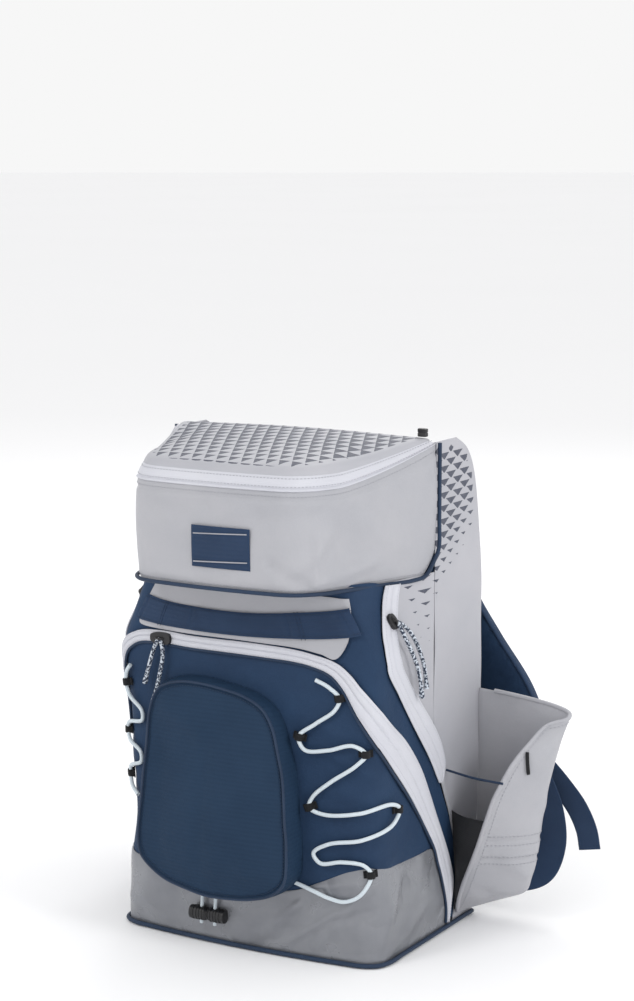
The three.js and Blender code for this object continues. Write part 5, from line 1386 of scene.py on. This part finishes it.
def makeCordLock():
    # A ribbed barrel turned about the X axis, drawn in at its waist and bevelled at both ends
    low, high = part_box("cord_lock")
    length = (high[0] - low[0]) / mm
    centre = boxCentre("cord_lock") + [0, 0, lockSetup["raise"]]
    x = np.linspace(-0.5, 0.5, 81) * length
    ribs = np.sign(np.sin(x * lockSetup["ridgePitch"])) * (np.abs(x) < length * lockSetup["ridgeEnd"])
    radius = lockSetup["radius"] + lockSetup["ridge"] * ribs
    radius = radius * np.clip((length / 2 - np.abs(x)) / lockSetup["bevel"] + 0.55, 0, 1) ** 0.5
    radius = radius - ridge(x, 0, lockSetup["waistWidth"], lockSetup["waist"])
    angle = 2 * np.pi * np.arange(28) / 28
    flat = 1 - lockSetup["flat"] * np.cos(angle) ** 2
    ring = np.stack([x[:, None] + 0 * angle[None], np.cos(angle)[None] * radius[:, None] * flat,
                     np.sin(angle)[None] * radius[:, None]], -1) + centre
    points, quads = closedTube(ring)
    meshPiece("barrel_lock", points, quads, "moulded", ["cord_lock"])
    z = np.linspace(centre[2] - lockSetup["cordLow"], centre[2] + lockSetup["cordHigh"], 31)
    for tag, shift in (("left", -9), ("right", 7)):
        x = centre[0] + shift + lockSetup["cordLean"] * (z - centre[2])
        path = skinPoint(*sharesAt(x, z), lockSetup["cordLift"] + 0 * z)
        sweepPiece(f"lock_cord_{tag}", path, np.array([0, -1.0, 0]),
                   roundProfile(lockSetup["cordRadius"], 12), "cord")


makeLacing()
makeCordLock()
print("lacing made")


# Zip sliders and their cord pulls
frontPullRows = np.array([  # around, up
    (-0.73, 0.69), (-0.7, 0.73), (-0.65, 0.79), (-0.62, 0.814), (-0.58, 0.785), (-0.61, 0.71),
    (-0.66, 0.645)])
mainPullRows = np.array([  # around, up
    (1.33, 0.69), (1.29, 0.77), (1.24, 0.86), (1.25, 0.895), (1.3, 0.86), (1.345, 0.78), (1.375, 0.71)])
pulls = [
    {"name": "front", "around": -0.62, "up": 0.816, "turn": 0, "length": 24, "width": 12,
     "rows": frontPullRows},
    {"name": "main_right", "around": 1.235, "up": 0.9, "turn": -60, "length": 16, "width": 10,
     "rows": mainPullRows},
    {"name": "main_left", "around": -1.235, "up": 0.9, "turn": 60, "length": 16, "width": 10,
     "rows": mainPullRows * [-1, 1]},
]
sliderSetup = {"thickness": 3.8, "lift": 1.8, "seat": 1.0, "bridgeHalf": 5, "bridgeTall": 3.0,
               "bridgeFoot": 1.2, "bridgeLift": 2.2, "bridgeRadius": 1.1, "cordLift": 4.4, "cordSlack": 1.5,
               "cordRadius": 2.0, "knot": 0.35, "knotSteps": 5}
zipTab = {"length": 10, "width": 7, "height": 8}


def sliderGrid(length, width, thickness):
    # A rounded block, narrow at its nose: superellipse in plan, swept in height as nested rings
    angle = 2 * np.pi * np.arange(40) / 40
    c, s = np.cos(angle), np.sin(angle)
    taper = 1 - 0.22 * (c < 0) * np.abs(c)
    plan = np.stack([np.sign(c) * np.abs(c) ** 0.55 * length / 2,
                     np.sign(s) * np.abs(s) ** 0.55 * width / 2 * taper], -1)
    level = np.array([-1, -0.9, -0.2, 0.0, 0.2, 0.9, 1.0]) * thickness / 2
    size = np.array([0.86, 1, 1, 0.9, 1, 1, 0.8])
    height = np.broadcast_to(level[:, None, None], (len(level), len(plan), 1))
    return closedTube(np.concatenate([plan[None] * size[:, None, None], height], -1))


def placeOnSkin(points, around, up, lift, turn):
    # Own frame to skin: x along the way round, y up, z outwards, turned about z
    step = 0.004
    x = unit(skinBase(around + step, up) - skinBase(around - step, up))
    z = skinNormal(around, up)
    y = np.cross(z, x)
    angle = math.radians(turn)
    turned = np.stack([points[:, 0] * math.cos(angle) - points[:, 1] * math.sin(angle),
                       points[:, 0] * math.sin(angle) + points[:, 1] * math.cos(angle), points[:, 2]], -1)
    return turned @ np.stack([x, y, z]) + skinPoint(around, up, lift)


def makeSlider(pull, lift):
    # A block with a low bridge over it, set on the tape and turned along it
    points, quads = sliderGrid(pull["length"], pull["width"], sliderSetup["thickness"])
    block = placeOnSkin(points, pull["around"], pull["up"], lift + sliderSetup["lift"], pull["turn"])
    x = np.linspace(-sliderSetup["bridgeHalf"], sliderSetup["bridgeHalf"], 25)
    z = sliderSetup["bridgeTall"] * np.sin(np.linspace(0, np.pi, 25)) + sliderSetup["bridgeFoot"]
    ring = sweepPoints(np.stack([x, 0 * x, z], -1), np.array([0, 1.0, 0]),
                       roundProfile(sliderSetup["bridgeRadius"], 10))
    points, bridgeQuads = closedTube(ring)
    bridge = placeOnSkin(points, pull["around"], pull["up"], lift + sliderSetup["bridgeLift"], pull["turn"])
    joinedPiece(f"slider_{pull['name']}", [(block, quads), (bridge, bridgeQuads)], "moulded",
                [f"zip_slider_{pull['name']}"])


def makePullCord(pull, lift):
    # One cord looped through the slider; it stands off more towards its two ends, which swell to knots
    rows = pull["rows"]
    middle = len(rows) // 2
    slack = np.abs(np.arange(len(rows)) - middle) / middle
    height = lift + sliderSetup["cordLift"] + sliderSetup["cordSlack"] * slack
    path = throughPoints(skinPoint(rows[:, 0], rows[:, 1], height), 150)
    normal = skinNormal(aroundAlong(path, rows), path[:, 2] / body["wallHeight"])
    place = np.arange(len(path))
    ends = 1 + ridge(place, 3, sliderSetup["knotSteps"], sliderSetup["knot"])
    ends = ends + ridge(place, len(path) - 3, sliderSetup["knotSteps"], sliderSetup["knot"])
    sweepPiece(f"pull_cord_{pull['name']}", path, normal, roundProfile(sliderSetup["cordRadius"], 12),
               "speckled", [f"zip_pull_{pull['name']}"], scale=ends)


def makeZipHardware():
    for pull in pulls:
        makeSlider(pull, tapeLift + sliderSetup["seat"])
        makePullCord(pull, tapeLift + sliderSetup["seat"])


def makeZipTab():
    # The small tab on the lid, as a block of the same kind
    points, quads = sliderGrid(zipTab["length"], zipTab["width"], zipTab["height"])
    meshPiece("lid_zip_slider", points + boxCentre("zip_tab"), quads, "moulded", ["zip_tab"])


makeZipHardware()
makeZipTab()
print("zip hardware made")


# Side pockets. Each row gives three places as shares, with the height of the first and the last
pocketRows = np.array([  # frontX, frontY, reachX, reachY, seamX, seamY, frontZ, seamZ
    (1.012, 0.29, 1.03, 0.4, 1.007, 0.5, 0.022, 0.022), (1.02, 0.27, 1.3, 0.5, 1, 0.508, 0.036, 0.036),
    (1.06, 0.235, 1.78, 0.5, 0.99, 0.512, 0.068, 0.068), (1.13, 0.2, 1.9, 0.5, 0.988, 0.53, 0.114, 0.114),
    (1.22, 0.17, 1.93, 0.5, 0.988, 0.545, 0.172, 0.172), (1.31, 0.15, 1.95, 0.5, 0.988, 0.55, 0.244, 0.244),
    (1.38, 0.15, 2.0, 0.5, 0.988, 0.55, 0.3, 0.32), (1.5, 0.205, 2.03, 0.51, 0.988, 0.555, 0.376, 0.41),
    (1.6, 0.39, 2.0, 0.53, 0.988, 0.56, 0.432, 0.47)])
sidePocket = {"wall": 2.2, "flareLeft": 1.08, "seamGap": 2, "flatWidth": 150, "flatHeight": 235,
              "seams": (0.46, 0.54), "seamWidth": 0.012, "seamDepth": 1.1, "binding": (4.6, 4.2)}
sideCreases = [((20, 110), (60, 84), 8, 1.6), ((40, 160), (100, 150), 9, 1.4), ((60, 60), (120, 72), 9, 1.6),
               ((10, 70), (40, 40), 7, -1.4), ((84, 200), (124, 120), 10, 1.2)]
gusset = {"low": 0.1, "high": 0.62, "bodyX": 148.1, "bodyLow": 0.325, "bodyHigh": 0.24, "wall": 1.4,
          "bulge": 6, "ripple": 1.2}
pocketTab = {"low": 0.812, "high": 0.888, "from": 0.03, "slope": 1.1, "width": 3.4, "thickness": 2.6,
             "lift": 1.2}
elastic = {"x": 148.5, "back": 0.176, "up": 0.332, "pocketUp": 0.79, "sag": 1.5, "radius": 1.25}


def pocketPoint(side, u, v):
    # Plan is a quadratic curve from the free front edge by the reach point to the back seam
    u, v = np.broadcast_arrays(np.asarray(u, float), np.asarray(v, float))
    read = splineAt(pocketRows, v.ravel()).reshape(*v.shape, 8)
    flare = 1.0 if side > 0 else sidePocket["flareLeft"]
    half, depth = body["halfWidth"], body["depth"]
    frontX, frontY = (1 + (read[..., 0] - 1) * flare) * half, read[..., 1] * depth
    reachX, reachY = (1 + (read[..., 2] - 1) * flare) * half, read[..., 3] * depth
    seamX, seamY = read[..., 4] * half, read[..., 5] * depth - sidePocket["seamGap"]
    x = (1 - u) ** 2 * frontX + 2 * u * (1 - u) * reachX + u * u * seamX
    y = (1 - u) ** 2 * frontY + 2 * u * (1 - u) * reachY + u * u * seamY
    return np.stack([side * x, y, body["bagHeight"] * mix(read[..., 6], read[..., 7], u)], -1)


def makePocketWall(name, side):
    # Waves and creases, with two sewn grooves across, all calm at the edges; binding and stitches follow it
    u = np.linspace(0, 1, 101)[:, None]
    v = np.linspace(0, 1, 121)[None]
    grid = pocketPoint(side, u, v)
    normal = gridNormals(grid)
    normal = normal * np.sign(normal[40, 60, 0] * side)
    flatX, flatZ = u * sidePocket["flatWidth"] + 0 * v, v * sidePocket["flatHeight"] + 0 * u
    height = creased(waves(grid, 81 + side, 80, 1.1), flatX, flatZ, sideCreases)
    for seam in sidePocket["seams"]:
        height = height - ridge(v, seam, sidePocket["seamWidth"], sidePocket["seamDepth"])
    height = height * np.clip(u / 0.05, 0, 1) * np.clip((1 - v) / 0.05, 0, 1) * np.clip(v / 0.12, 0, 1)
    outer = grid + normal * height[..., None]
    clothPiece(f"pocket_side_{name}", outer, outer - normal * sidePocket["wall"], "light",
               [f"side_pocket_{name}"])
    middle = outer - normal * sidePocket["wall"] / 2
    edge = throughPoints(np.concatenate([middle[0, 6:-1], middle[:, -1]])[::8], 200)
    width, thickness = sidePocket["binding"]
    sweepPiece(f"pocket_binding_{name}", edge, np.array([side * 0.6, -0.8, 0.1]),
               strapProfile(width, thickness, 14, 2.6), "light")
    thread = outer + normal * 0.3
    lines = [(thread[4:, column], normal[4:, column]) for column in (53, 57, 63, 67)]
    lines += [(thread[3, 10:], normal[3, 10:]), (thread[6:, 116], normal[6:, 116])]
    stitchPiece(f"pocket_stitches_{name}", lines, "stitchLight", pitch=4.0)


def makeGusset(name, side):
    # Straight lines from the body to the pocket's free edge, bulged forwards and rippled along them
    u = np.linspace(0, 1, 41)[:, None]
    v = np.linspace(0, 1, 61)[None]
    free = pocketPoint(side, 0 * v, mix(gusset["low"], gusset["high"], v))
    bodyY = mix(gusset["bodyLow"], gusset["bodyHigh"], v) * body["depth"]
    bodyEdge = np.stack([side * gusset["bodyX"] + 0 * v, bodyY, free[..., 2]], -1)
    grid = mix(bodyEdge, free - [side * 1.5, 0.4, 0], u[..., None])
    ripple = gusset["ripple"] * np.sin(v * 21 + 2 * u)
    bulge = (gusset["bulge"] + ripple) * np.sin(np.pi * u)
    front = grid + forwards * bulge[..., None]
    clothPiece(f"gusset_{name}", front, front + [0, gusset["wall"], 0], "mesh",
               [f"pocket_gusset_{name}"])


def makePocketTab(name, side):
    # A thin folded tab that hangs upright on the pocket, near its free edge
    v = np.linspace(pocketTab["low"], pocketTab["high"], 31)
    u = pocketTab["from"] + (pocketTab["high"] - v) * pocketTab["slope"]
    path = pocketPoint(side, u, v)
    across = unit(pocketPoint(side, u + 0.025, v) - path)
    normal = unit(np.cross(across, np.gradient(path, axis=0)))
    normal = normal * np.sign(normal[15, 0] * side)
    sweepPiece(f"cord_webbing_{name}", path + normal * pocketTab["lift"], normal,
               strapProfile(pocketTab["width"], pocketTab["thickness"], 20, 4), "blackWebbing",
               [f"cord_tab_{name}"])


def makeElastic(name, side):
    # From the body to the pocket's free edge, with a little sag
    back, up = elastic["back"] * body["depth"], elastic["up"] * body["bagHeight"]
    start = np.array([side * elastic["x"], back, up])
    end = pocketPoint(side, 0.0, elastic["pocketUp"]) + [side, -1.2, 0]
    middle = (start + end) / 2 - [0, 0, elastic["sag"]]
    path = throughPoints(np.stack([start, middle, end]), 60)
    sweepPiece(f"elastic_{name}", path, np.array([0, 0, 1.0]), roundProfile(elastic["radius"], 12), "piping",
               [f"side_cord_{name}"])


for name, side in (("right", 1), ("left", -1)):
    makePocketWall(name, side)
    makeGusset(name, side)
for name, side in (("right", 1), ("left", -1)):
    makePocketTab(name, side)
    makeElastic(name, side)
print("side pockets made")


# Bottom, divider and back
baseRings = np.array([  # share from the centre to the outline, height: under side first
    (0.02, 0), (0.3, 0), (0.6, 0), (0.9, 0), (0.99, 0), (1.0, 0.3), (1.0, 2.7), (0.99, 3.0), (0.9, 3.0),
    (0.6, 3.0), (0.3, 3.0), (0.02, 3.0)])
bottomPiping = {"radius": 2.2, "lift": 2.9, "height": 3.2, "end": 1.97}
backSetup = {"inside": 145.4, "low": 3.35, "high": 482.5, "wall": 8, "lift": 0.5, "fill": 0.7, "channelX": 48,
             "channelWidth": 9, "channelLow": 60, "channelHigh": 440, "channelFade": 30, "crossZ": 250,
             "crossWidth": 8, "crossReach": 120, "depth": 3.4, "edgeDrop": 3}
divider = {"low": 3.4, "high": 498.6, "wall": 1.6}


def makeBase():
    # Rings drawn in from the skin's own outline at the floor, with a soft edge
    a = np.linspace(-2, 2, 161)
    rim = skinPoint(a, 0 * a, -0.4 + 0 * a)[:, :2]
    rear = np.stack([np.linspace(rim[-1, 0], rim[0, 0], 41)[1:-1], np.full(39, rim[-1, 1])], -1)
    outline = np.concatenate([rim, rear])
    centre = outline.mean(0)
    plan = centre + (outline[None] - centre) * baseRings[:, 0, None, None]
    height = np.broadcast_to(baseRings[:, 1, None, None], (*plan.shape[:2], 1))
    points, quads = closedTube(np.concatenate([plan, height], -1))
    meshPiece("base_cloth", points, quads, "silver", ["base_panel"])


def makeBottomPiping():
    # Round the skin's lower edge, from one rear corner to the other
    a = np.linspace(-bottomPiping["end"], bottomPiping["end"], 37)
    up = 0 * a + bottomPiping["height"] / body["wallHeight"]
    path = throughPoints(skinPoint(a, up, 0 * a + bottomPiping["lift"]), 420)
    outward = unit(np.stack([path[:, 0], path[:, 1], 0 * path[:, 0]], -1))
    sweepPiece("bottom_piping_cloth", path, outward, roundProfile(bottomPiping["radius"], 12), "piping",
               ["bottom_piping"])


def makeBackPad():
    # A padded wall behind the rear curve, with two sewn channels down it and one across
    u = np.linspace(0, 1, 81)[:, None]
    v = np.linspace(0, 1, 121)[None]
    x = mix(backSetup["inside"], -backSetup["inside"], u) + 0 * v
    z = mix(backSetup["low"], backSetup["high"], v) + 0 * u
    fromLow = np.clip((z - backSetup["channelLow"]) / backSetup["channelFade"], 0, 1)
    fromHigh = np.clip((backSetup["channelHigh"] - z) / backSetup["channelFade"], 0, 1)
    groove = ridge(np.abs(x), backSetup["channelX"], backSetup["channelWidth"], fromLow * fromHigh)
    cross = ridge(z, backSetup["crossZ"], backSetup["crossWidth"], np.abs(x) < backSetup["crossReach"])
    soft = waves(np.stack([x, 0 * x, z], -1), 91, 110, 0.5)
    edge = np.clip(np.minimum(u, 1 - u) / 0.05, 0, 1) * np.clip(np.minimum(v, 1 - v) / 0.03, 0, 1)
    puff = (soft - backSetup["depth"] * np.maximum(groove, cross)) * edge
    puff = puff - backSetup["edgeDrop"] * (1 - edge) ** 2
    y = rearY(z) - backSetup["lift"]
    outer = np.stack([x, y + puff, z], -1)
    inner = np.stack([x, y - backSetup["wall"], z], -1)
    pad = clothPiece("back_pad", outer, inner, "mesh", ["back_panel"])


def makeDivider():
    # A slightly wavy upright sheet from side to side
    x = np.linspace(-backSetup["inside"], backSetup["inside"], 101)[:, None]
    z = np.linspace(divider["low"], divider["high"], 121)[None]
    flat = np.stack([x + 0 * z, 0 * x + 0 * z, z + 0 * x], -1)
    y = body["dividerY"] + waves(flat, 95, 130, 0.4)
    grid = np.stack([flat[..., 0], y, flat[..., 2]], -1)
    clothPiece("divider_cloth", grid, grid + [0, divider["wall"], 0], "navy", ["bat_divider"])


# Straps. Routes are shares of the half width, the depth and the height: out, back, up
bagShares = np.array([body["halfWidth"], body["depth"], body["bagHeight"]])
shoulderRoute = bagShares * [
    (0.387, 0.539, 0.892), (0.413, 0.618, 0.884), (0.453, 0.691, 0.832), (0.493, 0.735, 0.736),
    (0.6, 0.775, 0.624), (0.793, 0.799, 0.526), (1.029, 0.789, 0.434), (1.167, 0.733, 0.376)]
webbingRoute = bagShares * [
    (1.262, 0.683, 0.325), (1.345, 0.672, 0.277), (1.437, 0.665, 0.215), (1.467, 0.645, 0.15),
    (1.413, 0.605, 0.1), (1.233, 0.56, 0.082)]
tailRoute = bagShares * [
    (1.28, 0.715, 0.332), (1.373, 0.735, 0.3), (1.48, 0.75, 0.264), (1.6, 0.755, 0.22),
    (1.673, 0.755, 0.176), (1.7, 0.755, 0.136)]
lockPlace = bagShares * (1.216, 0.715, 0.35)


padSetup = {"width": 62, "thickness": 13.5, "fill": 0.75, "channels": 9, "channelDepth": 0.05, "edge": 30.4,
            "binding": (4.2, 11.5), "cover": (25, 1.4), "coverLift": 7.2}
coverSteps = slice(8, 149)
lowerWebbing = {"width": 36, "tailWidth": 24, "thickness": 1.8, "endX": 138, "endZ": 41, "endRise": 18,
                "endLift": 1.25}
lockFrame = {"half": 20.5, "tall": 11.0, "bar": (4, 5.4), "crossBar": (3.4, 3.6), "tilt": math.pi / 2 - 0.45,
             "swing": 0.55}
crossBars = [{"y": -3.4, "z": -0.4}, {"y": 3.4, "z": 0.6}]
haulSetup = {"up": 0.914, "lift": 8.3, "width": 20, "thickness": 4}
haulRows = np.array([  # x, height above the foot
    (-46, 0), (-44, 9), (-32, 21), (0, 26), (32, 21), (44, 9), (46, 0)])


def makeShoulderPad(name, side):
    # A padded band whose face turns from up to back along the route, pinched a little at even steps
    path = throughPoints(shoulderRoute * [side, 1, 1], 160)
    share = np.linspace(0, 1, len(path))
    lean = np.clip(share * 5, 0, 1)[:, None]
    facing = np.concatenate([0 * lean, lean, 1 - lean], -1)
    scale = 1 - padSetup["channelDepth"] * np.cos(share * 2 * np.pi * padSetup["channels"]) ** 8
    pad = sweepPiece(f"shoulder_pad_{name}", path, facing,
                     strapProfile(padSetup["width"], padSetup["thickness"], 44, 3.6), "navy",
                     [f"shoulder_strap_{name}"], scale=scale)
    tangent = unit(np.gradient(path, axis=0))
    across = unit(np.cross(tangent, facing))
    upward = np.cross(across, tangent)
    for tag, edge in (("outer", padSetup["edge"]), ("inner", -padSetup["edge"])):
        sweepPiece(f"shoulder_binding_{name}_{tag}", path + across * edge, upward,
                   strapProfile(*padSetup["binding"], 16, 2.4), "webbing")
    line = path[coverSteps] + upward[coverSteps] * padSetup["coverLift"]
    sweepPiece(f"strap_cover_{name}", line, upward[coverSteps], strapProfile(*padSetup["cover"], 20, 4),
               "webbing")


def makeWebbing(name, side):
    # The lower webbing from the lock to the bag's back corner, and the loose tail
    endY = float(rearY(lowerWebbing["endZ"] + lowerWebbing["endRise"])) + lowerWebbing["endLift"]
    end = np.array([lowerWebbing["endX"], endY, lowerWebbing["endZ"]])
    path = throughPoints(np.concatenate([webbingRoute, [end]]) * [side, 1, 1], 120)
    backwards = np.array([0, 1.0, 0])
    sweepPiece(f"lower_webbing_{name}", path, backwards,
               strapProfile(lowerWebbing["width"], lowerWebbing["thickness"], 28, 6), "webbing",
               [f"strap_webbing_{name}"])
    path = throughPoints(tailRoute * [side, 1, 1], 70)
    sweepPiece(f"loose_tail_{name}", path, backwards,
               strapProfile(lowerWebbing["tailWidth"], lowerWebbing["thickness"], 24, 6), "webbing",
               [f"strap_tail_{name}"])


def makeLadderLock(name, side):
    # A moulded frame: a rounded bar swept round a rectangle, with two cross bars, turned into place
    half, tall = lockFrame["half"], lockFrame["tall"]
    angle = 2 * np.pi * np.arange(97) / 96
    c, s = np.cos(angle), np.sin(angle)
    loop = np.stack([np.sign(c) * np.abs(c) ** 0.35 * half, np.sign(s) * np.abs(s) ** 0.35 * tall, 0 * c], -1)
    upward = np.array([0, 0, 1.0])
    parts = [closedTube(sweepPoints(loop, upward, strapProfile(*lockFrame["bar"], 14, 3.2)))]
    for row in crossBars:
        bar = np.stack([np.linspace(-half, half, 31), np.full(31, row["y"]), np.full(31, row["z"])], -1)
        parts.append(closedTube(sweepPoints(bar, upward, strapProfile(*lockFrame["crossBar"], 14, 3))))
    c, s = math.cos(lockFrame["tilt"]), math.sin(lockFrame["tilt"])
    aboutX = np.array([[1, 0, 0], [0, c, -s], [0, s, c]])
    c, s = math.cos(-side * lockFrame["swing"]), math.sin(-side * lockFrame["swing"])
    aboutY = np.array([[c, 0, s], [0, 1, 0], [-s, 0, c]])
    turn = (aboutY @ aboutX).T
    placed = [(points @ turn + lockPlace * [side, 1, 1], quads) for points, quads in parts]
    joinedPiece(f"strap_buckle_{name}", placed, "moulded", [f"ladder_lock_{name}"])


def makeHaulLoop():
    # A webbing arch that stands up from the back, flat side outwards from its foot
    z = haulSetup["up"] * body["bagHeight"]
    y = float(rearY(z)) + haulSetup["lift"]
    points = np.stack([haulRows[:, 0], np.full(len(haulRows), y), z + haulRows[:, 1]], -1)
    path = throughPoints(points, 120)
    sweepPiece("haul_webbing", path, unit(path - [0, y, z]) + [0, 0, 1e-3],
               strapProfile(haulSetup["width"], haulSetup["thickness"], 26, 5), "webbing",
               ["haul_loop"])


makeBase()
makeBottomPiping()
makeBackPad()
makeDivider()
for name, side in (("right", 1), ("left", -1)):
    makeShoulderPad(name, side)
    makeWebbing(name, side)
    makeLadderLock(name, side)
makeHaulLoop()
print("bottom, back and straps made")


def makeFloor():
    # A plain flat floor, wide enough to reach the horizon from every side
    half = floorSetup["half"]
    corners = [(-half, -half, 0), (half, -half, 0), (half, half, 0), (-half, half, 0)]
    mesh = bpy.data.meshes.new("studioFloor")
    mesh.from_pydata(corners, [], [(0, 1, 2, 3)])
    look, tree, shader = newLook("studioFloor")
    tone = noiseAt(tree, objectPlace(tree), 0.4, 2.0)
    dark = tuple(channel - 3 for channel in floorSetup["colour"])
    tree.links.new(blendColours(tree, tone, floorSetup["colour"], dark), shader.inputs["Base Color"])
    shader.inputs["Roughness"].default_value = 0.9
    mesh.materials.append(look)
    floor = bpy.data.objects.new("studioFloor", mesh)
    bpy.context.scene.collection.objects.link(floor)


makeFloor()
